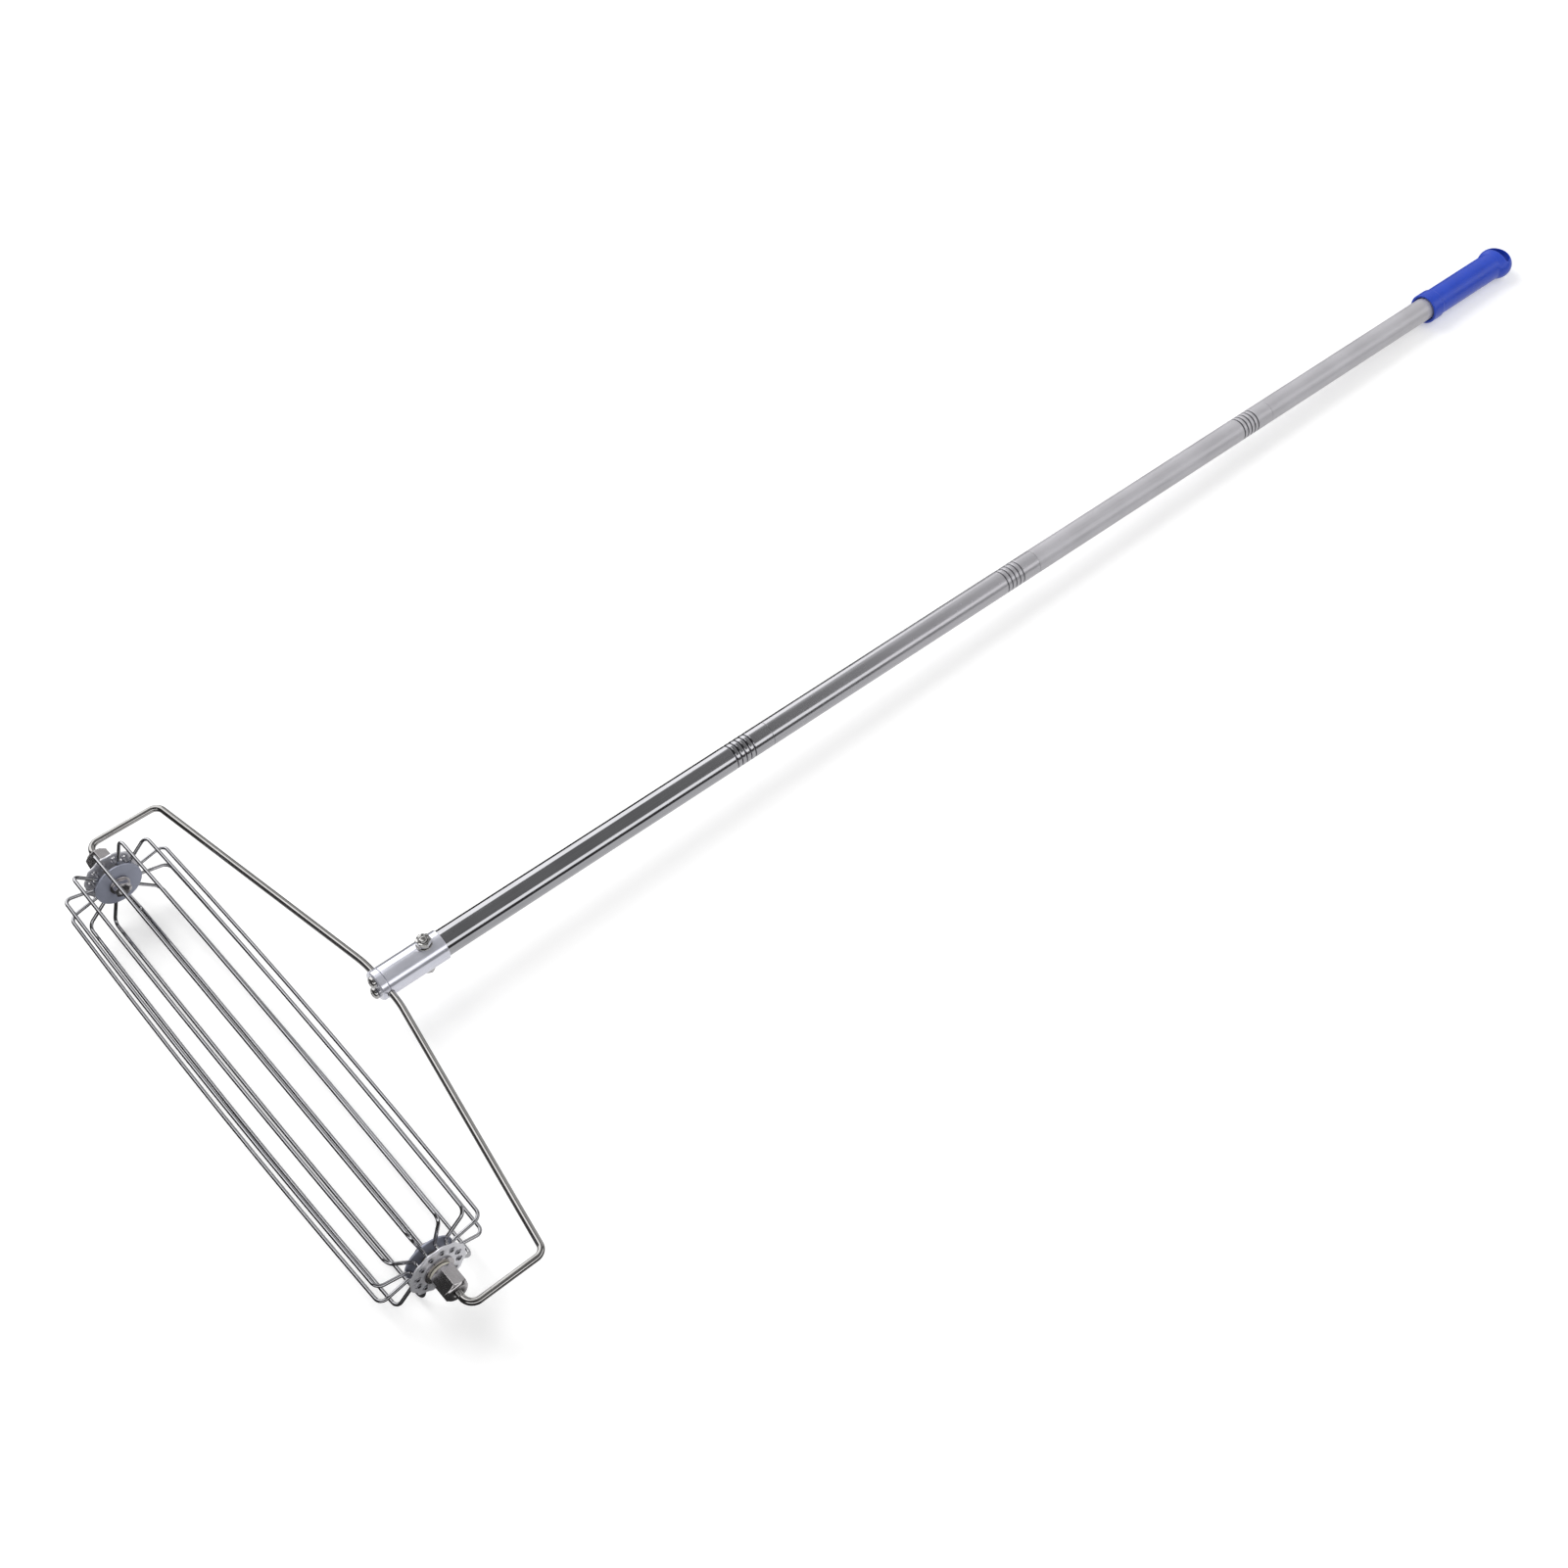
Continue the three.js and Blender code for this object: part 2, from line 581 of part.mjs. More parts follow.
/** Round-headed cap screw with a cross recess, beside the centre line. */
function capScrew(offsetZ) {
  const headTop = capBottomY - SEAT_GAP;
  const headRadius = CAP_SCREW_HEAD_DIAMETER / 2;
  const face = headTop - CAP_SCREW_HEAD_HEIGHT;
  const tip = socketFloorY - CAP_SCREW_END_WALL - SEAT_GAP;
  let body = solid(turned([
    [0, face],
    [headRadius * 0.5, face + CAP_SCREW_HEAD_HEIGHT * 0.08],
    [headRadius * 0.82, face + CAP_SCREW_HEAD_HEIGHT * 0.3],
    [headRadius, face + CAP_SCREW_HEAD_HEIGHT * 0.65],
    [headRadius, headTop],
    [capScrewRadius, headTop],
    [capScrewRadius, tip - capScrewRadius / 2],
    [capScrewRadius / 2, tip],
    [0, tip],
  ]));
  for (const [width, length] of [[RECESS_WIDTH, RECESS_LENGTH], [RECESS_LENGTH, RECESS_WIDTH]]) {
    const blade = new THREE.BoxGeometry(width, 2 * RECESS_DEPTH, length).translate(0, face, 0);
    body = body.subtract(solid(blade));
  }
  return geometryOf(body).translate(0, 0, offsetZ);
}

// Heights along Z of the cross bolt's pieces, above and below the sleeve.
const crossWasherSpan = [clampRadius + SEAT_GAP, clampRadius + SEAT_GAP + CROSS_WASHER_THICKNESS];
const crossNutSpan = [crossWasherSpan[1] + SEAT_GAP, crossWasherSpan[1] + SEAT_GAP + CROSS_NUT_HEIGHT];
const crossHeadTop = -crossWasherSpan[1] - SEAT_GAP;
const crossHeadSpan = [crossHeadTop - CROSS_HEAD_HEIGHT, crossHeadTop];

/** A hexagon with chamfered corners across the cross bolt's axis. */
function crossHexagon(flats, span, chamfers) {
  const prism = new THREE.ExtrudeGeometry(hexagon(flats, 0), { depth: span[1] - span[0], bevelEnabled: false });
  prism.translate(0, crossBoltY, span[0]);
  return chamferedHexagon(prism, turnedOnCrossBolt(chamferProfile(flats, span, chamfers), TUBE_SEGMENTS));
}

/** Washer of the cross bolt, above (1) or below (-1) the sleeve. */
function crossWasher(side) {
  const span = crossWasherSpan.map((z) => side * z);
  return closed(turnedOnCrossBolt(ringProfile(crossHoleRadius, CROSS_WASHER_DIAMETER / 2, span)));
}

/** Nut on top of the cross bolt, with a countersunk bore. */
function crossNut() {
  const [from, to] = crossNutSpan;
  const sink = crossHoleRadius + 0.8;
  const bore = turnedOnCrossBolt([
    [0, from - 1],
    [crossHoleRadius, from - 1],
    [crossHoleRadius, to - 0.8],
    [sink, to],
    [sink, to + 1],
    [0, to + 1],
  ]);
  return geometryOf(crossHexagon(CROSS_NUT_FLATS, crossNutSpan, [true, true]).subtract(solid(bore)));
}

/** Cross bolt: head under the sleeve, shank up through sleeve and tube. */
function crossBolt() {
  const end = crossNutSpan[1] + CROSS_BOLT_PROUD;
  const shank = solid(turnedOnCrossBolt([
    [0, crossHeadSpan[0] + 1],
    [crossBoltRadius, crossHeadSpan[0] + 1],
    [crossBoltRadius, end - 0.6],
    [crossBoltRadius - 0.6, end],
    [0, end],
  ]));
  return geometryOf(crossHexagon(CROSS_HEAD_FLATS, crossHeadSpan, [true, false]).add(shank));
}

/** Heights of the rolled grooves under the end of a section. */
function grooveHeights(endY) {
  return Array.from({ length: GROOVE_COUNT }, (_, k) => endY - GROOVE_OFFSET - k * GROOVE_PITCH).reverse();
}

/** A wall line at one radius that dips at each groove, from low to high. */
function groovedLine(radius, heights) {
  return heights.flatMap((y) => [
    [radius, y - GROOVE_WIDTH / 2],
    [radius - GROOVE_DEPTH, y],
    [radius, y + GROOVE_WIDTH / 2],
  ]);
}

/** One pole tube; the grooves are rolled through its wall. */
function poleSection(index) {
  const from = index === 0 ? poleStartY : jointsY[index - 1] + SEAT_GAP / 2;
  const to = index === SECTION_COUNT - 1 ? poleEndY : jointsY[index] - SEAT_GAP / 2;
  const heights = index === SECTION_COUNT - 1 ? [] : grooveHeights(to);
  const tube = turned([
    [tubeRadius, from],
    ...groovedLine(tubeRadius, heights),
    [tubeRadius, to],
    [tubeBoreRadius, to],
    ...groovedLine(tubeBoreRadius, heights).reverse(),
    [tubeBoreRadius, from],
  ], TUBE_SEGMENTS);
  if (index > 0) {
    return closed(tube);
  }
  return geometryOf(solid(tube).subtract(crossHole()));
}

/** Threaded socket that the grooves grip inside the top of a section. */
function threadSocket(index) {
  const top = jointsY[index] - SEAT_GAP / 2;
  const heights = grooveHeights(top);
  const bottom = heights[0] - PLUG_MARGIN;
  const radius = tubeBoreRadius - SEAT_GAP;
  const bore = STUD_DIAMETER / 2 + SEAT_GAP;
  return closed(turned([
    [bore, bottom],
    [radius, bottom],
    ...groovedLine(radius, heights),
    [radius, top],
    [bore, top],
  ], PLUG_SEGMENTS));
}

/** Threaded stud in the bottom of a section, screwed into the socket below. */
function threadStud(index) {
  const bottom = jointsY[index] + SEAT_GAP / 2;
  const radius = tubeBoreRadius - SEAT_GAP;
  const stud = STUD_DIAMETER / 2;
  return closed(turned([
    [0, bottom - STUD_LENGTH],
    [stud - 1, bottom - STUD_LENGTH],
    [stud, bottom - STUD_LENGTH + 1],
    [stud, bottom],
    [radius, bottom],
    [radius, bottom + STUD_PLUG_LENGTH],
    [0, bottom + STUD_PLUG_LENGTH],
  ], PLUG_SEGMENTS));
}

/** Outline of the hanging hole: straight on the pole's side, round on the tip's. */
function hangingHole() {
  const radius = knobRadius - HOLE_WALL;
  const inset = Math.asin(HOLE_CORNER / (radius - HOLE_CORNER));
  const cornerX = (radius - HOLE_CORNER) * Math.cos(inset);
  const outline = new THREE.Shape();
  outline.moveTo(-cornerX, 0);
  outline.lineTo(cornerX, 0);
  outline.absarc(cornerX, HOLE_CORNER, HOLE_CORNER, -Math.PI / 2, inset, false);
  outline.absarc(0, 0, radius, inset, Math.PI - inset, false);
  outline.absarc(-cornerX, HOLE_CORNER, HOLE_CORNER, Math.PI - inset, 1.5 * Math.PI, false);
  const reach = KNOB_DIAMETER;
  const cutter = new THREE.ExtrudeGeometry(outline, { depth: 2 * reach, curveSegments: 8, bevelEnabled: false });
  return solid(cutter.translate(0, knobY, -reach));
}

/** Plastic grip: beaded mouth, barrel over the tube, and a flattened knob to hang it by. */
function grip() {
  const step = BEAD_WALL - BARREL_WALL;
  const barrelEndY = knobY - KNOB_ENGAGEMENT;
  const barrel = turned([
    [0, gripBoreEndY],
    [gripBoreRadius, gripBoreEndY],
    [gripBoreRadius, gripMouthY + MOUTH_DEPTH],
    [mouthRadius, gripMouthY],
    [beadRadius - step / 2, gripMouthY],
    [beadRadius, gripMouthY + step / 2],
    [beadRadius, gripMouthY + BEAD_LENGTH - step],
    [barrelRadius, gripMouthY + BEAD_LENGTH],
    [barrelRadius, barrelEndY],
    [0, barrelEndY],
  ], GRIP_SEGMENTS);
  const knob = new THREE.SphereGeometry(knobRadius, GRIP_SEGMENTS, GRIP_SEGMENTS / 2);
  knob.scale(1, 1, KNOB_THICKNESS / KNOB_DIAMETER).translate(0, knobY, 0);
  return geometryOf(solid(barrel).add(solid(knob)).subtract(hangingHole()));
}

// ---------------------------------------------------------------------- assembly

const sides = [['left', -1], ['right', 1]];
const twoDigits = (number) => String(number).padStart(2, '0');

/** A named piece with its own material. */
function piece(name, geometry, look) {
  const mesh = new THREE.Mesh(geometry, new THREE.MeshStandardMaterial(FINISHES[look]));
  mesh.name = name;
  return mesh;
}

/** What turns with the drum: wires, hub plates and bushes. */
function drum() {
  const group = new THREE.Group();
  const wire = drumWire();
  for (let k = 0; k < WIRE_COUNT; k += 1) {
    const mesh = piece(`cage_wire_${twoDigits(k + 1)}`, wire, 'wire');
    mesh.rotation.x = (2 * k + 1) * halfWireStep;
    group.add(mesh);
  }
  for (const [name, side] of sides) {
    group.add(piece(`hub_plate_outer_${name}`, outerHubPlate(side), 'plate'));
    const innerRadius = HOOK_RADIUS + INNER_PLATE_RIM;
    group.add(piece(`hub_plate_inner_${name}`, axleRing(innerRadius, innerPlate, side, TUBE_SEGMENTS), 'innerPlate'));
    group.add(piece(`hub_bush_${name}`, axleRing(axleBoreRadius + BUSH_WALL, bush, side), 'brass'));
  }
  group.rotation.x = drumTurn;
  return group;
}

/** The fixed ends of the axle: bolts, washers, spacers and couplings. */
function axleEnds() {
  const group = new THREE.Group();
  for (const [name, side] of sides) {
    group.add(piece(`axle_bolt_${name}`, axleBolt(side), 'zinc'));
    group.add(piece(`bolt_head_washer_${name}`, axleRing(HEAD_WASHER_DIAMETER / 2, headWasher, side), 'zinc'));
    group.add(piece(`thrust_washer_${name}`, axleRing(THRUST_WASHER_DIAMETER / 2, thrustWasher, side), 'zinc'));
    group.add(piece(`spacer_ring_${name}`, axleRing(SPACER_DIAMETER / 2, spacer, side), 'nylon'));
    group.add(piece(`hex_coupling_${name}`, hexCoupling(side), 'zinc'));
  }
  return group;
}

/** Clamp: sleeve, cap, their screws and the cross bolt through the tube. */
function clamp() {
  const group = new THREE.Group();
  group.add(piece('clamp_sleeve', clampSleeve(), 'clamp'));
  group.add(piece('clamp_cap', clampCap(), 'clamp'));
  group.add(piece('cap_screw_upper', capScrew(capScrewOffset), 'screw'));
  group.add(piece('cap_screw_lower', capScrew(-capScrewOffset), 'screw'));
  group.add(piece('cross_bolt', crossBolt(), 'screw'));
  group.add(piece('cross_bolt_nut', crossNut(), 'screw'));
  group.add(piece('cross_bolt_washer_top', crossWasher(1), 'screw'));
  group.add(piece('cross_bolt_washer_bottom', crossWasher(-1), 'screw'));
  return group;
}

/** Pole: four tubes, and the plugs that screw them together. */
function pole() {
  const group = new THREE.Group();
  for (let k = 0; k < SECTION_COUNT; k += 1) {
    const look = k < 2 ? 'lowerTube' : 'upperTube';
    group.add(piece(`pole_section_${k + 1}`, poleSection(k), look));
  }
  jointsY.forEach((_, k) => {
    group.add(piece(`thread_socket_${k + 1}`, threadSocket(k), 'plug'));
    group.add(piece(`thread_stud_${k + 1}`, threadStud(k), 'plug'));
  });
  return group;
}

const handle = new THREE.Group();
handle.rotation.x = -poleSlope;
handle.add(axleEnds());
handle.add(piece('yoke_rod', closed(bar(rodStations(yokeCorners), rodRadius, ROD_SIDES)), 'rod'));
handle.add(clamp());
handle.add(pole());
handle.add(piece('grip', grip(), 'grip'));

const gatherer = new THREE.Group();
gatherer.add(drum(), handle);
gatherer.updateMatrixWorld(true);
const box = new THREE.Box3().setFromObject(gatherer, true);
gatherer.position.set(-(box.min.x + box.max.x) / 2, -(box.min.y + box.max.y) / 2, -box.min.z);
gatherer.updateMatrixWorld(true);

export default gatherer;
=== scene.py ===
"""Looks of a rolling wire-cage gatherer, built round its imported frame.

A drum of bowed spring wires turns between two hubs in a bent-rod yoke, which a clamp
holds on a pole of four screwed tubes with a plastic grip.

Every piece is drawn in the tool's own millimetres: X along the drum's axle, Y up the
pole and Z square to both, from the middle of the axle. It is then laid in the frame.
"""

import logging
import math
from dataclasses import dataclass, field
from enum import Enum
from typing import Any, Callable, Iterable, Sequence

import bmesh
import bpy
from mathutils import Euler, Matrix, Vector


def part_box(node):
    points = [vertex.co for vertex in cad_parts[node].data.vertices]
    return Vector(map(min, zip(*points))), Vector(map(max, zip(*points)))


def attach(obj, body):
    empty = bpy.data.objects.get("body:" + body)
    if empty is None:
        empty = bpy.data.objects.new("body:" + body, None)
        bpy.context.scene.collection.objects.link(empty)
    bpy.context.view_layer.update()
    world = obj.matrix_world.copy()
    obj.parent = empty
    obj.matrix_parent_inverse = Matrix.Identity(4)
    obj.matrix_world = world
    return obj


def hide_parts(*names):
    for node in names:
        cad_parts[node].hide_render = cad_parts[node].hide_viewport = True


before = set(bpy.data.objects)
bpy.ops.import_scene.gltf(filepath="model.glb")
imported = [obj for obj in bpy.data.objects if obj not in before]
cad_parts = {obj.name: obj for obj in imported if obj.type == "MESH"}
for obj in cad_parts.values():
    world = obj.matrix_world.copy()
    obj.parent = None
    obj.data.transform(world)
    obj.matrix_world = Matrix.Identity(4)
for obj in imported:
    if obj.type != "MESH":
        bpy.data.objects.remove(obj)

LOG = logging.getLogger("gatherer")
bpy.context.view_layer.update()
MM = 0.001
FULL_TURN = 2 * math.pi

Colour = tuple[float, float, float]
Triple = tuple[float, float, float]
Span = tuple[float, float]
Profile = list[tuple[float, float]]
Reach = Callable[[float, float, float], float]
Finishing = Callable[[bpy.types.Object], None]

# Local Z turned onto the axle and onto the pole.
ONTO_AXLE = Matrix(((0, 0, 1, 0), (1, 0, 0, 0), (0, 1, 0, 0), (0, 0, 0, 1)))
ONTO_POLE = Matrix(((0, 1, 0, 0), (0, 0, 1, 0), (1, 0, 0, 0), (0, 0, 0, 1)))


class Body(Enum):
    """The bodies of the frame that pieces ride on."""

    DRUM = "drum"
    HANDLE = "handle"


class Side(Enum):
    """The two ends of the drum."""

    LEFT = -1
    RIGHT = 1

    @property
    def word(self) -> str:
        """The side's name as it stands in piece names."""
        return self.name.lower()

    @property
    def mirror(self) -> Matrix:
        """Matrix that carries a right-hand piece to this side."""
        return Matrix.Diagonal((self.value, 1, 1, 1))


@dataclass(frozen=True)
class Lie:
    """How the tool lies on the floor: the axle's middle, the pole's slope, the drum's turn."""

    axle: Vector
    knob_y: float
    knob_half_height: float
    drum_turn_deg: float = -3.0

    @property
    def slope(self) -> float:
        """Angle by which the pole falls from the drum to the knob."""
        return math.asin((self.axle.z / MM - self.knob_half_height) / self.knob_y)

    def turn(self, body: Body) -> float:
        """Angle of a body about the axle."""
        return -self.slope if body is Body.HANDLE else math.radians(self.drum_turn_deg)

    def of(self, body: Body) -> Matrix:
        """Placement of a body's pieces.

        Args:
            body: The body that the piece rides on.

        Returns:
            Matrix from the tool's millimetres to the frame's metres.
        """
        turn = Matrix.Rotation(self.turn(body), 4, "X")
        return Matrix.Translation(self.axle) @ turn @ Matrix.Scale(MM, 4)


# ------------------------------------------------------------------ skins of pieces


@dataclass
class Skin:
    """Corners and faces of one closed skin, in millimetres."""

    corners: list[Vector] = field(default_factory=list)
    faces: list[tuple[int, ...]] = field(default_factory=list)

    def placed(self, matrix: Matrix) -> "Skin":
        """The same skin carried elsewhere."""
        return Skin([matrix @ corner for corner in self.corners], list(self.faces))

    def mesh(self, name: str) -> bpy.types.Mesh:
        """The skin as a mesh with its faces pointing out.

        Args:
            name: Name of the mesh.

        Returns:
            A new mesh in millimetres.
        """
        made = bpy.data.meshes.new(name)
        made.from_pydata([tuple(corner) for corner in self.corners], [], self.faces)
        face_out(made)
        return made


def face_out(mesh: bpy.types.Mesh) -> None:
    """Merges doubles and turns every face of a closed mesh outwards.

    Args:
        mesh: The mesh, changed in place.
    """
    work = bmesh.new()
    work.from_mesh(mesh)
    bmesh.ops.remove_doubles(work, verts=work.verts, dist=1e-4)
    bmesh.ops.recalc_face_normals(work, faces=work.faces)
    work.to_mesh(mesh)
    work.free()
    mesh.update()


def even_angles(count: int) -> list[float]:
    """Equal angles round a full turn."""
    return [FULL_TURN * k / count for k in range(count)]


def turned(profile: Profile, angles: Sequence[float], reach: Reach | None = None) -> Skin:
    """A body turned about local Z.

    Args:
        profile: Points as (radius, height). One that starts and ends on the axis is
            a solid body, and any other closes on itself as a ring.
        angles: Where the corners stand round the axis.
        reach: Gives the true radius from a profile radius, an angle and a height.

    Returns:
        The closed skin.
    """
    skin = Skin()
    rings: list[list[int]] = []
    for radius, along in profile:
        first = len(skin.corners)
        if radius == 0:
            skin.corners.append(Vector((0, 0, along)))
            rings.append([first] * len(angles))
            continue
        for angle in angles:
            out = reach(radius, angle, along) if reach else radius
            skin.corners.append(Vector((out * math.cos(angle), out * math.sin(angle), along)))
        rings.append(list(range(first, first + len(angles))))
    if profile[0][0] > 0:
        rings.append(rings[0])
    for low, high in zip(rings, rings[1:]):
        for k in range(len(angles)):
            after = (k + 1) % len(angles)
            loop = [low[k], low[after], high[after], high[k]]
            face = tuple(dict.fromkeys(loop))
            if len(face) > 2:
                skin.faces.append(face)
    return skin


# In a rounded profile, a corner flatter than this stays as it is.
NEARLY_FLAT = math.radians(172)
# The most that one rounding takes of a side.
SIDE_SHARE = 0.42
# The flat margin beside a rounding, as a share of the rounding.
MARGIN_SHARE = 0.15


def eased(profile: Profile, ease: float, ring: bool = False, steps: int = 3) -> Profile:
    """Rounds the corners of a profile, with a flat margin beside each rounding.

    Args:
        profile: Points as (radius, height).
        ease: Radius of the rounding.
        ring: Whether the profile closes on itself.
        steps: Steps in each rounding.

    Returns:
        The profile with its corners rounded.
    """
    points = [Vector(point) for point in profile]
    made: Profile = []
    for k, corner in enumerate(points):
        if not ring and k in (0, len(points) - 1):
            made.append(tuple(corner))
            continue
        back = points[k - 1] - corner
        ahead = points[(k + 1) % len(points)] - corner
        angle = back.angle(ahead)
        if angle > NEARLY_FLAT:
            made.append(tuple(corner))
            continue
        cut = min(ease / math.tan(angle / 2), SIDE_SHARE * back.length, SIDE_SHARE * ahead.length)
        margin = MARGIN_SHARE * cut
        start = corner + back.normalized() * cut
        end = corner + ahead.normalized() * cut
        made.append(tuple(start + back.normalized() * margin))
        for step in range(steps + 1):
            share = step / steps
            made.append(tuple(start.lerp(corner, share).lerp(corner.lerp(end, share), share)))
        made.append(tuple(end + ahead.normalized() * margin))
    return made


def ring_profile(inner: float, outer: float, span: Span) -> Profile:
    """Profile of a plain ring between two heights."""
    return [(inner, span[0]), (outer, span[0]), (outer, span[1]), (inner, span[1])]


def rod_skin(radius: float, span: Span, sides: int = 48) -> Skin:
    """A plain solid rod about local Z."""
    return turned([(0, span[0]), (radius, span[0]), (radius, span[1]), (0, span[1])], even_angles(sides))


def block(foot: Sequence[Triple], head: Sequence[Triple]) -> Skin:
    """A block from four corners at its foot and four at its head."""
    sides = ((k, (k + 1) % 4, (k + 1) % 4 + 4, k + 4) for k in range(4))
    return Skin([Vector(corner) for corner in (*foot, *head)], [(0, 1, 2, 3), (4, 5, 6, 7), *sides])


@dataclass(frozen=True)
class Hexagon:
    """A hexagonal outline with slightly rounded corners."""

    flats: float
    corner_deg: float
    rounding: float = 0.35
    blend: float = 0.3
    chamfer_rows: int = 8

    @property
    def flat(self) -> float:
        """Distance from the axis to a flat."""
        return self.flats / 2

    def angles(self) -> list[float]:
        """Angles that crowd towards the corners.

        Returns:
            The angles in radians, face by face.
        """
        half = (9, 18, 25, 27.4, 28.5, 29.3)
        spread = (-30, *(-off for off in reversed(half)), 0, *half)
        faces = [self.corner_deg + 30 + 60 * k for k in range(6)]
        return [math.radians(face + off) for face in faces for off in spread]

    def corner(self, room: float = 1.01) -> float:
        """Radius just outside the corners, larger than theirs by a factor."""
        return self.flats / math.sqrt(3) * room

    def chamfer(self, end: float, sign: float, inset: float = 0.1, extra: float = 0.05,
                room: float = 1.01) -> Profile:
        """Rows of the thirty-degree chamfer that eases the corners at one end.

        Args:
            end: Height of the end face.
            sign: Direction from the end into the body.
            inset: How far inside the flats the end's circle lies.
            extra: Height that the chamfer has beyond the corners.
            room: Factor of the radius outside the corners.

        Returns:
            Points from the end face into the body.
        """
        tangent = math.tan(math.pi / 6)
        drop = (self.corner(room) - self.flat) * tangent + extra
        shares = [k / self.chamfer_rows for k in range(self.chamfer_rows + 1)]
        return [(self.flat - inset + drop / tangent * share, end + sign * drop * share) for share in shares]

    def radius(self, angle: float) -> float:
        """Distance from the axis to the outline.

        Args:
            angle: Where, in radians round the axis.

        Returns:
            The distance, along a flat or round a corner.
        """
        flat = self.flat
        sixth = math.pi / 3
        off = abs((angle - math.radians(self.corner_deg)) % sixth - sixth / 2)
        inner = flat - self.rounding
        if off < math.atan2(inner * math.tan(sixth / 2), flat):
            return flat / math.cos(off)
        centre = inner / math.cos(sixth / 2)
        away = sixth / 2 - off
        return centre * math.cos(away) + math.sqrt(self.rounding**2 - (centre * math.sin(away)) ** 2)

    def reach(self, bound: float) -> Reach:
        """Reach of a turned profile that the hexagon cuts.

        Args:
            bound: Radius under which the profile is left as it is.

        Returns:
            The reach, which blends softly where profile and hexagon meet.
        """

        def cut(radius: float, angle: float, _along: float) -> float:
            """Cuts a profile's radius back to the hexagon.

            Args:
                radius: The profile's radius.
                angle: Where, in radians round the axis.
                _along: Height, which the hexagon does not change with.

            Returns:
                The radius that is left.
            """
            if radius < bound:
                return radius
            flat = self.radius(angle)
            mix = max(self.blend - abs(radius - flat), 0) / self.blend
            return min(radius, flat) - mix * mix * self.blend / 4

        return cut


def bend(before: Vector, corner: Vector, after: Vector, radius: float, steps: int) -> list[Vector]:
    """Points round one bend of a rod.

    Args:
        before: Corner before the bend.
        corner: Where the straight runs would meet.
        after: Corner after the bend.
        radius: Radius of the bend.
        steps: Steps along it.

    Returns:
        Points from the first tangent point to the last.
    """
    inward = (corner - before).normalized()
    outward = (after - corner).normalized()
    angle = inward.angle(outward)
    axis = inward.cross(outward).normalized()
    start = corner - inward * radius * math.tan(angle / 2)
    centre = start + axis.cross(inward) * radius
    arm = start - centre
    return [centre + Matrix.Rotation(angle * k / steps, 3, axis) @ arm for k in range(steps + 1)]


def bent_path(corners: Sequence[tuple[float, ...]]) -> list[Vector]:
    """Centre line of a rod in the XY plane.

    Args:
        corners: (x, y) at the ends and (x, y, bend radius, steps) between.

    Returns:
        Points along the rod.
    """
    points = [Vector((corner[0], corner[1], 0)) for corner in corners]
    path = [points[0]]
    for k in range(1, len(points) - 1):
        path += bend(points[k - 1], points[k], points[k + 1], corners[k][2], int(corners[k][3]))
    return path + [points[-1]]


def swept(path: Sequence[Vector], sides: int, reach: Callable[[int, float], float]) -> Skin:
    """A rod along a path in the XY plane.

    Args:
        path: Points along the centre line.
        sides: Corners round the rod.
        reach: Gives the radius from a station's number and an angle.

    Returns:
        The closed skin with flat ends.
    """
    skin = Skin()
    angles = even_angles(sides)
    for k, point in enumerate(path):
        along = (path[min(k + 1, len(path) - 1)] - path[max(k - 1, 0)]).normalized()
        across = along.cross(Vector((0, 0, 1)))
        for angle in angles:
            out = across * math.cos(angle) + Vector((0, 0, math.sin(angle)))
            skin.corners.append(point + out * reach(k, angle))
    for k in range(len(path) - 1):
        for j in range(sides):
            after = (j + 1) % sides
            low, high = k * sides, (k + 1) * sides
            skin.faces.append((low + j, low + after, high + after, high + j))
    last = (len(path) - 1) * sides
    skin.faces.append(tuple(range(sides)))
    skin.faces.append(tuple(range(last, last + sides)))
    return skin


def mirrored(corners: Sequence[tuple[float, ...]]) -> list[tuple[float, ...]]:
    """The right-hand half of a rod's corners and its mirror image on the left."""
    return [*corners, *((-corner[0], *corner[1:]) for corner in reversed(corners))]


# ------------------------------------------------------------------- trees of nodes


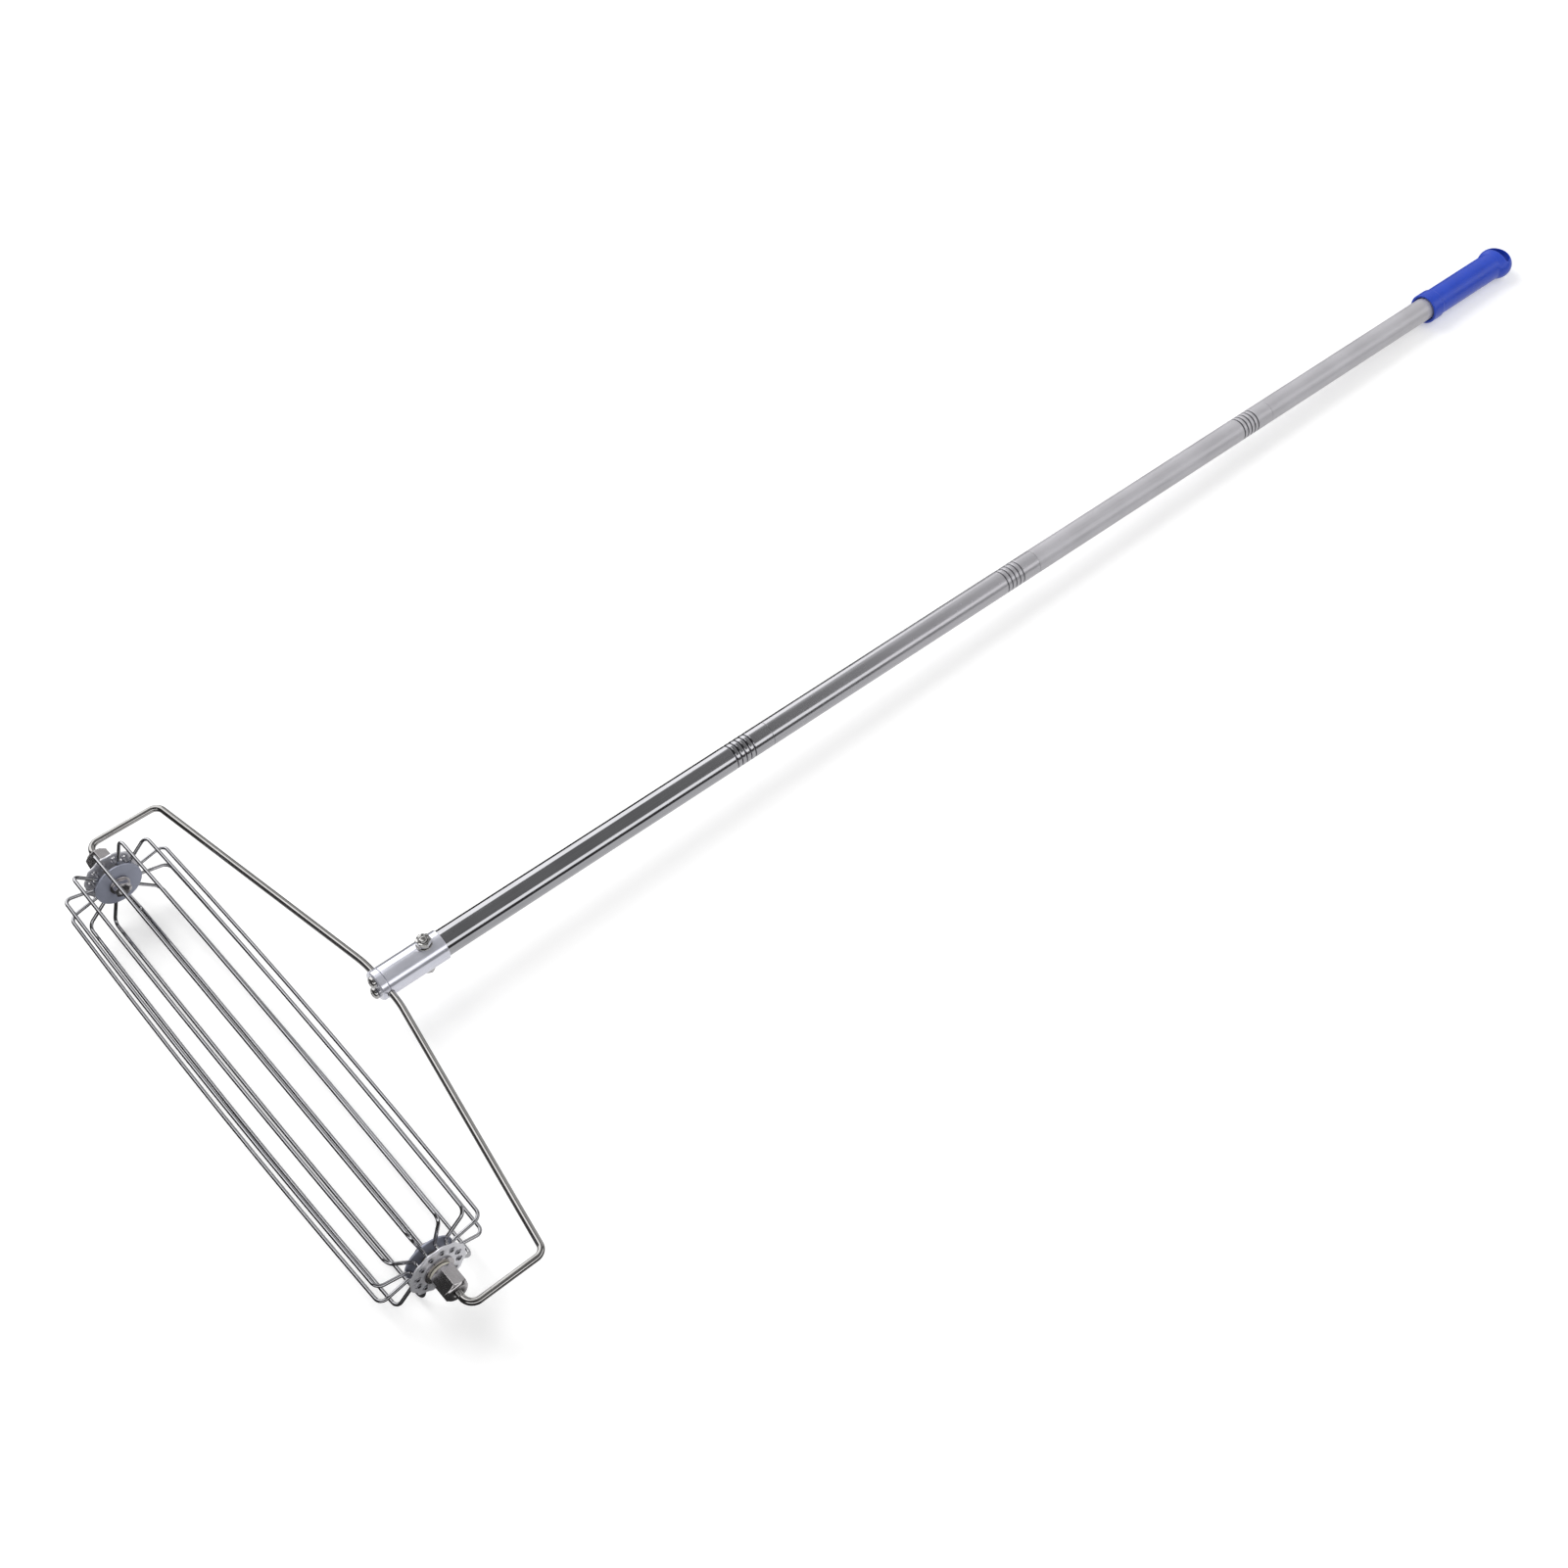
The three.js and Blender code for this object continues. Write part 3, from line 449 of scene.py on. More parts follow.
class Tree:
    """Short ways to add and join the nodes of one tree."""

    def __init__(self, tree: bpy.types.NodeTree) -> None:
        """Takes over a node tree.

        Args:
            tree: Shader or geometry tree, emptied here.
        """
        self.tree = tree
        self.tree.nodes.clear()

    def add(self, kind: str, sockets: dict[str | int, Any] | None = None,
            **settings: Any) -> bpy.types.Node:
        """Adds a node and sets or joins its inputs.

        Args:
            kind: The node's type.
            sockets: Inputs by identifier or number; a value, a node or a socket.
            **settings: Properties of the node.

        Returns:
            The new node.
        """
        node = self.tree.nodes.new(kind)
        for name, value in settings.items():
            setattr(node, name, value)
        for key, value in (sockets or {}).items():
            target = node.inputs[key] if isinstance(key, int) else self.socket(node, key)
            if isinstance(value, bpy.types.Node):
                value = next(out for out in value.outputs if out.enabled)
            if isinstance(value, bpy.types.NodeSocket):
                self.tree.links.new(value, target)
            else:
                target.default_value = value
        return node

    @staticmethod
    def socket(node: bpy.types.Node, key: str) -> bpy.types.NodeSocket:
        """An input found by its identifier or, for a group, by its name."""
        return next(s for s in node.inputs if key in (s.identifier, s.name) and s.enabled)

    def math(self, operation: str, *values: Any, clamp: bool = False) -> bpy.types.Node:
        """Adds a Math node."""
        return self.add("ShaderNodeMath", dict(enumerate(values)), operation=operation, use_clamp=clamp)

    def vector(self, operation: str, *values: Any) -> bpy.types.Node:
        """Adds a Vector Math node."""
        return self.add("ShaderNodeVectorMath", dict(enumerate(values)), operation=operation)

    def largest(self, first: Any, *others: Any) -> bpy.types.Node:
        """The largest of several values.

        Args:
            first: A value, node or socket.
            *others: More of them.

        Returns:
            The last Maximum node.
        """
        for other in others:
            first = self.math("MAXIMUM", first, other)
        return first

    def length(self, vector: Any) -> bpy.types.NodeSocket:
        """The length of a vector."""
        return self.vector("LENGTH", vector).outputs["Value"]

    def parts(self, vector: Any) -> bpy.types.bpy_prop_collection:
        """The X, Y and Z of a vector, as three sockets."""
        return self.add("ShaderNodeSeparateXYZ", {0: vector}).outputs

    def axis(self, number: int, value: Any) -> bpy.types.Node:
        """A vector along one axis, with a given length."""
        return self.add("ShaderNodeCombineXYZ", {number: value})

    def circle(self, sides: Any, radius: Any) -> bpy.types.Node:
        """A circle of edges round Z."""
        return self.add("GeometryNodeCurvePrimitiveCircle", {"Resolution": sides, "Radius": radius})

    def joined(self, *shapes: bpy.types.Node) -> bpy.types.Node:
        """Several shapes as one.

        Args:
            *shapes: Nodes whose first output is a shape.

        Returns:
            The node that joins them.
        """
        node = self.add("GeometryNodeJoinGeometry")
        for shape in shapes:
            self.tree.links.new(shape.outputs[0], node.inputs[0])
        return node

    def ramp(self, value: Any, low: float, high: float, to_low: Any = 0.0,
             to_high: Any = 1.0) -> bpy.types.Node:
        """Maps a value smoothly from one range to another."""
        sockets = {0: value, 1: low, 2: high, 3: to_low, 4: to_high}
        return self.add("ShaderNodeMapRange", sockets, interpolation_type="SMOOTHSTEP")

    def mix(self, share: Any, first: Any, second: Any) -> bpy.types.Node:
        """Mixes two colours.

        Args:
            share: How much of the second there is.
            first: A node or red, green and blue.
            second: A node or red, green and blue.

        Returns:
            The node with the mixed colour.
        """
        sockets = {"Factor_Float": share}
        for key, colour in (("A_Color", first), ("B_Color", second)):
            sockets[key] = (*colour, 1) if isinstance(colour, tuple) else colour
        return self.add("ShaderNodeMix", sockets, data_type="RGBA")

    def group(self, shared: bpy.types.NodeTree, **values: Any) -> bpy.types.NodeSocket:
        """Places a shared group with its values and gives its first output."""
        return self.add("ShaderNodeGroup", values, node_tree=shared).outputs[0]


def new_sockets(tree: bpy.types.NodeTree, inputs: dict[str, str], outputs: dict[str, str]) -> None:
    """Gives a node group its named sockets.

    Args:
        tree: The group's tree.
        inputs: Socket type by name, without the common prefix.
        outputs: Socket type by name, without the common prefix.
    """
    for direction, sockets in (("INPUT", inputs), ("OUTPUT", outputs)):
        for name, kind in sockets.items():
            tree.interface.new_socket(name=name, in_out=direction, socket_type="NodeSocket" + kind)


def geometry_tree(name: str, inputs: dict[str, str]) -> tuple[Tree, bpy.types.Node]:
    """Starts a Geometry Nodes tree with a geometry input and output.

    Args:
        name: Name of the tree.
        inputs: Further inputs, type by name.

    Returns:
        The tree and its input node.
    """
    group = bpy.data.node_groups.new(name, "GeometryNodeTree")
    new_sockets(group, {"Geometry": "Geometry", **inputs}, {"Geometry": "Geometry"})
    tree = Tree(group)
    return tree, tree.add("NodeGroupInput")


def spread_round(tree: Tree, shape: bpy.types.Node, count: Any, axis: int) -> bpy.types.Node:
    """Repeats a shape round an axis, the first one half a step on.

    Args:
        tree: The geometry tree.
        shape: What is repeated.
        count: Socket of how many there are.
        axis: Number of the axis that they stand round.

    Returns:
        Node with the instances.
    """
    step = tree.math("DIVIDE", FULL_TURN, count)
    turn = tree.math("MULTIPLY", tree.math("ADD", tree.add("GeometryNodeInputIndex"), 0.5), step)
    spots = tree.add("GeometryNodePoints", {"Count": count})
    return tree.add("GeometryNodeInstanceOnPoints", {"Points": spots, "Instance": shape,
                                                     "Rotation": tree.axis(axis, turn)})


def end_geometry(tree: Tree, geometry: Any, material: Any) -> bpy.types.NodeTree:
    """Ends a tree in Realize Instances and Set Material.

    Args:
        tree: The tree.
        geometry: What it made.
        material: Socket of its material input.

    Returns:
        The finished node tree.
    """
    real = tree.add("GeometryNodeRealizeInstances", {0: geometry})
    dressed = tree.add("GeometryNodeSetMaterial", {0: real, "Material": material})
    tree.add("NodeGroupOutput", {0: dressed})
    return tree.tree


# ------------------------------------------------------------------ making a piece


def new_object(name: str, mesh: bpy.types.Mesh) -> bpy.types.Object:
    """An object at the origin that shows a mesh.

    Args:
        name: Name of the object.
        mesh: The mesh.

    Returns:
        The object, linked to the scene.
    """
    made = bpy.data.objects.new(name, mesh)
    bpy.context.scene.collection.objects.link(made)
    return made


def plain_mesh(obj: bpy.types.Object) -> bpy.types.Mesh:
    """The mesh that an object's modifiers make; the modifiers are removed.

    Args:
        obj: The object, which keeps its own mesh.

    Returns:
        A new plain mesh.
    """
    bpy.context.view_layer.update()
    graph = bpy.context.evaluated_depsgraph_get()
    made = bpy.data.meshes.new_from_object(obj.evaluated_get(graph), depsgraph=graph)
    obj.modifiers.clear()
    return made


def grown(name: str, base: bpy.types.Mesh, tree: bpy.types.NodeTree, values: dict[str, Any],
          finishing: Finishing | None = None) -> bpy.types.Mesh:
    """Runs a Geometry Nodes tree on a mesh.

    Args:
        name: Name for the passing object.
        base: Mesh that the tree starts from.
        tree: The tree.
        values: Values of the tree's inputs, by name.
        finishing: Adds further modifiers after the tree.

    Returns:
        The result as a plain mesh.
    """
    holder = new_object(name, base)
    modifier = holder.modifiers.new("shape", "NODES")
    modifier.node_group = tree
    for item in tree.interface.items_tree:
        if item.item_type == "SOCKET" and item.in_out == "INPUT" and item.name in values:
            modifier[item.identifier] = values[item.name]
    if finishing:
        finishing(holder)
    made = plain_mesh(holder)
    bpy.data.objects.remove(holder)
    return made


def rounded_edges(width: float, degrees: float) -> Finishing:
    """A finishing step that breaks the sharp edges of a piece.

    Args:
        width: Width of the bevel in millimetres.
        degrees: Smallest angle of an edge that is broken.

    Returns:
        The step.
    """

    def step(obj: bpy.types.Object) -> None:
        """Adds the bevel.

        Args:
            obj: The piece.
        """
        modifier = obj.modifiers.new("broken edges", "BEVEL")
        modifier.width = width
        modifier.segments = 2
        modifier.limit_method = "ANGLE"
        modifier.angle_limit = math.radians(degrees)

    return step


def carved(name: str, body: Skin | bpy.types.Mesh, cutters: Iterable[Skin],
           finishing: Finishing | None = None) -> bpy.types.Mesh:
    """Cuts solids out of another.

    Args:
        name: Name for the passing object.
        body: Skin or mesh of the solid to start from.
        cutters: Solids taken away.
        finishing: Adds further modifiers at the end.

    Returns:
        The result as a plain mesh.
    """
    holder = new_object(name, body.mesh(name) if isinstance(body, Skin) else body)
    tools = []
    for skin in cutters:
        tool = new_object(name + " tool", skin.mesh(name + " tool"))
        modifier = holder.modifiers.new("cut", "BOOLEAN")
        modifier.operation = "DIFFERENCE"
        modifier.solver = "EXACT"
        modifier.object = tool
        tools.append(tool)
    if finishing:
        finishing(holder)
    made = plain_mesh(holder)
    for spent in (holder, *tools):
        bpy.data.objects.remove(spent)
    return made


@dataclass(frozen=True)
class Workshop:
    """Lays finished meshes in the frame and hands them over."""

    lie: Lie
    materials: dict[str, bpy.types.Material]

    def piece(self, name: str, shape: Skin | bpy.types.Mesh, body: Body, slot: str,
              replaces: Sequence[str], turn: Matrix | None = None, crease: float = 38) -> bpy.types.Object:
        """Makes one finished piece.

        Args:
            name: The piece's name.
            shape: Its skin or mesh in the tool's millimetres.
            body: The body that it rides on.
            slot: The record's material slot, which names its finish too.
            replaces: CAD nodes that it stands for.
            turn: Carries the shape to its place in the tool.
            crease: Angle in degrees from which an edge stays sharp.

        Returns:
            The object, at the origin, with its place in its mesh.
        """
        mesh = shape.mesh(name) if isinstance(shape, Skin) else shape
        mesh.name = name
        turn = turn or Matrix.Identity(4)
        mesh.transform(self.lie.of(body) @ turn)
        if turn.determinant() < 0:
            mesh.flip_normals()
        mesh.shade_smooth()
        mesh.set_sharp_from_angle(angle=math.radians(crease))
        mesh.materials.clear()
        mesh.materials.append(self.materials[slot])
        made = new_object(name, mesh)
        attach(made, body.value)
        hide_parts(*replaces)
        LOG.info("%s: %d faces for %s", name, len(mesh.polygons), ", ".join(replaces))
        return made


# --------------------------------------------------------------- effects of finishes


def group_tree(name: str, inputs: dict[str, str], outputs: dict[str, str]) -> tuple[Tree, bpy.types.Node]:
    """Starts a shader node group.

    Args:
        name: Name of the group.
        inputs: Input types by name.
        outputs: Output types by name.

    Returns:
        The tree and its input node.
    """
    group = bpy.data.node_groups.new(name, "ShaderNodeTree")
    new_sockets(group, inputs, outputs)
    tree = Tree(group)
    return tree, tree.add("NodeGroupInput")


class Effects:
    """Node groups for effects that several finishes share."""

    def __init__(self) -> None:
        """Builds each group once."""
        self.drawn_lines = self._drawn_lines()
        self.cloud = self._cloud()
        self.turning = self._turning()
        self.rubbed = self._rubbed()
        self.specks = self._specks()

    @staticmethod
    def _drawn_lines() -> bpy.types.NodeTree:
        """Fine lines left by drawing or brushing, long along one axis.

        Returns:
            The group, whose Stretch gives the lines per millimetre along each axis.
        """
        inputs = {"Vector": "Vector", "Stretch": "Vector", "Detail": "Float"}
        tree, start = group_tree("drawn lines", inputs, {"Lines": "Float"})
        given = start.outputs
        spread = tree.vector("MULTIPLY", given["Vector"], given["Stretch"])
        noise = tree.add("ShaderNodeTexNoise", {"Vector": spread, "Scale": 1.0, "Detail": given["Detail"],
                                                "Roughness": 0.6})
        tree.add("NodeGroupOutput", {0: tree.ramp(noise, 0.3, 0.7)})
        return tree.tree

    @staticmethod
    def _cloud() -> bpy.types.NodeTree:
        """Soft uneven patches, as of handling or uneven polish.

        Returns:
            The group, which runs between its Low and its High.
        """
        inputs = {"Vector": "Vector", "Size": "Float", "Low": "Float", "High": "Float"}
        tree, start = group_tree("cloud", inputs, {"Cloud": "Float"})
        given = start.outputs
        scale = tree.math("DIVIDE", 1.0, given["Size"])
        noise = tree.add("ShaderNodeTexNoise", {"Vector": given["Vector"], "Scale": scale, "Detail": 3.0,
                                                "Roughness": 0.55})
        share = tree.ramp(noise, 0.32, 0.68)
        reach = tree.math("SUBTRACT", given["High"], given["Low"])
        tree.add("NodeGroupOutput", {0: tree.math("MULTIPLY_ADD", share, reach, given["Low"])})
        return tree.tree

    @staticmethod
    def _turning() -> bpy.types.NodeTree:
        """Fine rings left by a lathe round local X.

        Returns:
            The group, whose Pitch is the distance between rings.
        """
        inputs = {"Vector": "Vector", "Pitch": "Float"}
        tree, start = group_tree("turning rings", inputs, {"Rings": "Float"})
        axial, first, second = tree.parts(start.outputs["Vector"])
        squares = [tree.math("MULTIPLY", side, side) for side in (first, second)]
        across = tree.math("SQRT", tree.math("ADD", *squares))
        along = tree.math("MULTIPLY_ADD", axial, 1.7, across)
        steps = tree.math("DIVIDE", along, start.outputs["Pitch"])
        noise = tree.add("ShaderNodeTexNoise", {"W": steps, "Scale": 1.0, "Detail": 2.0},
                         noise_dimensions="1D")
        tree.add("NodeGroupOutput", {0: tree.ramp(noise, 0.3, 0.7)})
        return tree.tree

    @staticmethod
    def _rubbed() -> bpy.types.NodeTree:
        """Mask of edges that handling has rubbed bright, broken up by noise.

        Returns:
            The group, whose Size is that of the breaks.
        """
        inputs = {"Vector": "Vector", "Size": "Float"}
        tree, start = group_tree("rubbed edges", inputs, {"Mask": "Float"})
        shape = tree.add("ShaderNodeNewGeometry")
        edge = tree.ramp(shape.outputs["Pointiness"], 0.51, 0.57)
        scale = tree.math("DIVIDE", 1.0, start.outputs["Size"])
        noise = tree.add("ShaderNodeTexNoise", {"Vector": start.outputs["Vector"], "Scale": scale,
                                                "Detail": 3.0})
        broken = tree.ramp(noise, 0.35, 0.6)
        tree.add("NodeGroupOutput", {0: tree.math("MULTIPLY", edge, broken)})
        return tree.tree

    @staticmethod
    def _specks() -> bpy.types.NodeTree:
        """Sparse small pits or dust specks.

        Returns:
            The group, with its specks' Spacing and the Share of places that hold one.
        """
        inputs = {"Vector": "Vector", "Spacing": "Float", "Share": "Float"}
        tree, start = group_tree("specks", inputs, {"Mask": "Float"})
        scale = tree.math("DIVIDE", 1.0, start.outputs["Spacing"])
        cells = tree.add("ShaderNodeTexVoronoi", {"Vector": start.outputs["Vector"], "Scale": scale})
        spot = tree.ramp(cells.outputs["Distance"], 0.05, 0.16, 1.0, 0.0)
        parts = tree.add("ShaderNodeSeparateColor", {0: cells.outputs["Color"]})
        chosen = tree.math("LESS_THAN", parts.outputs[0], start.outputs["Share"])
        tree.add("NodeGroupOutput", {0: tree.math("MULTIPLY", spot, chosen)})
        return tree.tree


class Marks(Enum):
    """The fine marks that shaping left on a surface."""

    DRAWN = "drawn"
    TURNED = "turned"
    MOULDED = "moulded"


@dataclass(frozen=True)
class Satin:
    """How a polished finish turns satin along the tool.

    Its colour and metallic replace the finish's own, and its rough is added.
    """

    span: Span
    colour: Colour
    metallic: float
    rough: float


@dataclass(frozen=True)
class Finish:
    """One finish of the tool: its colours, gloss and small marks.

    Colours are linear. Lengths are millimetres, and stretch is lines per millimetre.
    Beyond a set distance along the axle, the wire's sheared ends are dulled and painted
    near-black as shade; painted shade also darkens the tubes' groove bottoms and bore,
    fading out over a range of distances from the pole's axis.
    """

    colour: Colour
    worn: Colour
    rough: Span
    metallic: float = 1.0
    marks: Marks = Marks.DRAWN
    stretch: Triple = (0.02, 3.0, 3.0)
    depth: float = 0.002
    mark_tint: float = 0.35
    turned_pitch: float = 0.5
    grain_size: float = 0.5
    cloud_size: float = 14.0
    cloud_tint: float = 0.12
    cloud_share: float = 0.6
    rubbed_size: float = 1.6
    rubbed_tint: float = 0.7
    speck_spacing: float = 3.0
    speck_share: float = 0.1
    speck_shade: float = 0.55
    speck_tint: float = 0.6
    speck_rough: float = 0.15
    # Painted shade: the near-black colour and its share that darken the wire's cut ends; their roughness is
    # real dullness.
    end_painted_shade: Colour = (0.03, 0.03, 0.03)
    end_painted_shade_share: float = 0.95
    sheared_rough: float = 0.3
    sheared_and_shaded_end: float = 1e4
    # Painted shade that darkens the tubes' groove bottoms and bore, with the distances from the pole's axis
    # over which it fades.
    groove_painted_shade: Colour = (0.05, 0.05, 0.06)
    groove_painted_shade_reach: Span | None = None
    satin: Satin | None = None
    body: Body = Body.HANDLE

    def material(self, name: str, lie: Lie, effects: Effects) -> bpy.types.Material:
        """Builds the finish as a material.

        Args:
            name: Name of the material.
            lie: How the tool lies, so that the marks follow its axes.
            effects: The shared node groups.

        Returns:
            The material.
        """
        made = bpy.data.materials.new(name)
        made.use_nodes = True
        tree = Tree(made.node_tree)
        place = tree.add("ShaderNodeTexCoord").outputs["Object"]
        local = tree.add("ShaderNodeMapping", {"Vector": place, "Location": lie.axle,
                                               "Rotation": (lie.turn(self.body), 0, 0),
                                               "Scale": (MM, MM, MM)}, vector_type="TEXTURE")
        cloud = tree.group(effects.cloud, Vector=local, Size=self.cloud_size, Low=0.0, High=1.0)
        rubbed = tree.group(effects.rubbed, Vector=local, Size=self.rubbed_size)
        specks = tree.group(effects.specks, Vector=local, Spacing=self.speck_spacing,
                            Share=self.speck_share)
        marks = self._marks(tree, effects, local)
        across, along, _up = tree.parts(local)
        # Mask of the wire's cut ends past the plates: painted near-black as shade, and dulled.
        end = tree.math("GREATER_THAN", tree.math("ABSOLUTE", across), self.sheared_and_shaded_end)
        colour = self._colour(tree, cloud, marks, rubbed, specks, end)
        gloss = self._gloss(tree, cloud, marks, specks, end)
        height = tree.math("SUBTRACT", marks, specks)
        bump = tree.add("ShaderNodeBump", {"Strength": 1.0, "Distance": self.depth * MM, "Height": height})
        metallic = self.metallic
        if self.satin:
            share = tree.ramp(along, *self.satin.span)
            colour = tree.mix(share, colour, self.satin.colour)
            gloss = tree.math("MULTIPLY_ADD", share, self.satin.rough, gloss, clamp=True)
            metallic = tree.ramp(share, 0.0, 1.0, self.metallic, self.satin.metallic)
        # Painted shade: the tubes' groove bottoms and bore turn near-black, fading out with distance from
        # the pole's axis.
        if self.groove_painted_shade_reach:
            reach = tree.length(tree.vector("MULTIPLY", local, (1.0, 0.0, 1.0)))
            colour = tree.mix(tree.ramp(reach, *self.groove_painted_shade_reach, 1.0, 0.0), colour, self.groove_painted_shade)
        surface = tree.add("ShaderNodeBsdfPrincipled", {"Base Color": colour, "Roughness": gloss,
                                                        "Normal": bump, "Metallic": metallic})
        tree.add("ShaderNodeOutputMaterial", {"Surface": surface})
        return made

    def _colour(self, tree: Tree, cloud: Any, marks: Any, rubbed: Any, specks: Any, end: Any) -> Any:
        """The finish's colour, with its effects laid over each other.

        Args:
            tree: The material's tree.
            cloud: Mask of uneven patches.
            marks: Mask of the fine marks.
            rubbed: Mask of rubbed edges.
            specks: Mask of specks.
            end: Mask of the wire's sheared ends, which are painted near-black as shade.

        Returns:
            Node with the colour.
        """
        shade, dull = (tuple(channel * share for channel in self.colour)
                       for share in (1 - self.cloud_tint, self.speck_shade))
        base = tree.mix(cloud, shade, self.colour)
        lined = tree.mix(tree.math("MULTIPLY", marks, self.mark_tint), base, self.worn)
        bright = tree.mix(tree.math("MULTIPLY", rubbed, self.rubbed_tint), lined, self.worn)
        pitted = tree.mix(tree.math("MULTIPLY", specks, self.speck_tint), bright, dull)
        # Painted shade: the wire's cut ends turn near-black.
        return tree.mix(tree.math("MULTIPLY", end, self.end_painted_shade_share), pitted, self.end_painted_shade)

    def _gloss(self, tree: Tree, cloud: Any, marks: Any, specks: Any, end: Any) -> Any:
        """The finish's roughness.

        Args:
            tree: The material's tree.
            cloud: Mask of uneven patches.
            marks: Mask of the fine marks.
            specks: Mask of specks.
            end: Mask of sheared ends.

        Returns:
            Node with the roughness.
        """
        low, high = self.rough
        uneven = tree.math("MULTIPLY_ADD", cloud, self.cloud_share * (high - low), low)
        marked = tree.math("MULTIPLY_ADD", marks, (1 - self.cloud_share) * (high - low), uneven)
        dulled = tree.math("MULTIPLY_ADD", end, self.sheared_rough, marked)
        return tree.math("MULTIPLY_ADD", specks, self.speck_rough, dulled, clamp=True)

    def _marks(self, tree: Tree, effects: Effects, local: Any) -> bpy.types.NodeSocket:
        """The fine marks of this finish.

        Args:
            tree: The material's tree.
            effects: The shared node groups.
            local: Place in the tool's own axes.

        Returns:
            Socket with their mask.
        """
        if self.marks is Marks.DRAWN:
            return tree.group(effects.drawn_lines, Vector=local, Stretch=self.stretch, Detail=3.0)
        if self.marks is Marks.TURNED:
            return tree.group(effects.turning, Vector=local, Pitch=self.turned_pitch)
        return tree.group(effects.cloud, Vector=local, Size=self.grain_size, Low=0.0, High=1.0)


FINISHES: dict[str, Finish] = {
    # The drum wire's cut ends carry painted shade.
    "drum_wire": Finish((0.42, 0.42, 0.44), (0.6, 0.6, 0.62), (0.05, 0.14), stretch=(0.03, 4, 4),
                        mark_tint=0.2, cloud_size=30, sheared_and_shaded_end=219.55, body=Body.DRUM),
    "hub_plate": Finish((0.74, 0.74, 0.79), (0.85, 0.85, 0.88), (0.26, 0.4), metallic=0.55,
                        stretch=(1, 0.3, 0.3), cloud_size=9, mark_tint=0.2, body=Body.DRUM),
    "inner_plate": Finish((0.36, 0.38, 0.47), (0.48, 0.5, 0.6), (0.4, 0.52), metallic=0.35,
                          marks=Marks.TURNED, cloud_size=10, mark_tint=0.12, body=Body.DRUM),
    "bush": Finish((0.5, 0.46, 0.36), (0.6, 0.55, 0.44), (0.3, 0.5), marks=Marks.TURNED,
                   body=Body.DRUM),
    "coupling_steel": Finish((0.52, 0.5, 0.51), (0.7, 0.68, 0.68), (0.16, 0.28),
                             stretch=(0.08, 2, 2), cloud_size=6, mark_tint=0.12),
    "spacer": Finish((0.8, 0.77, 0.66), (0.85, 0.82, 0.72), (0.35, 0.55), metallic=0,
                     marks=Marks.MOULDED, cloud_tint=0.08),
    "yoke_steel": Finish((0.4, 0.39, 0.38), (0.62, 0.62, 0.62), (0.04, 0.14),
                         stretch=(0.6, 0.6, 4), cloud_size=24, mark_tint=0.15),
    "clamp_alloy": Finish((0.78, 0.79, 0.88), (0.84, 0.84, 0.92), (0.12, 0.22), metallic=0.65,
                          stretch=(1.2, 0.06, 1.2), cloud_size=16, cloud_tint=0.06, mark_tint=0.12),
    "fastener": Finish((0.42, 0.41, 0.4), (0.75, 0.75, 0.75), (0.04, 0.14), marks=Marks.MOULDED,
                       cloud_size=3, cloud_tint=0.25),
    # Both tubes carry painted shade in their groove bottoms and bore.
    "lower_tube": Finish((0.42, 0.42, 0.44), (0.5, 0.5, 0.52), (0.04, 0.12),
                         stretch=(1.6, 0.006, 1.6), cloud_size=40, groove_painted_shade_reach=(10.3, 10.8),
                         satin=Satin((250.0, 1000.0), (0.5, 0.49, 0.52), 0.3, 0.24)),
    "upper_tube": Finish((0.52, 0.51, 0.54), (0.58, 0.57, 0.6), (0.34, 0.46), metallic=0.25,
                         stretch=(2.2, 0.01, 2.2), cloud_size=40, groove_painted_shade_reach=(10.5, 10.9)),
    "plug": Finish((0.5, 0.5, 0.52), (0.6, 0.6, 0.62), (0.3, 0.5), marks=Marks.MOULDED),
    "grip": Finish((0.012, 0.055, 0.5), (0.035, 0.09, 0.58), (0.3, 0.42), metallic=0,
                   marks=Marks.MOULDED, depth=0.012, cloud_size=20, cloud_tint=0.1,
                   speck_spacing=6, speck_share=0.06),
}


# -------------------------------------------------------------------------- pieces


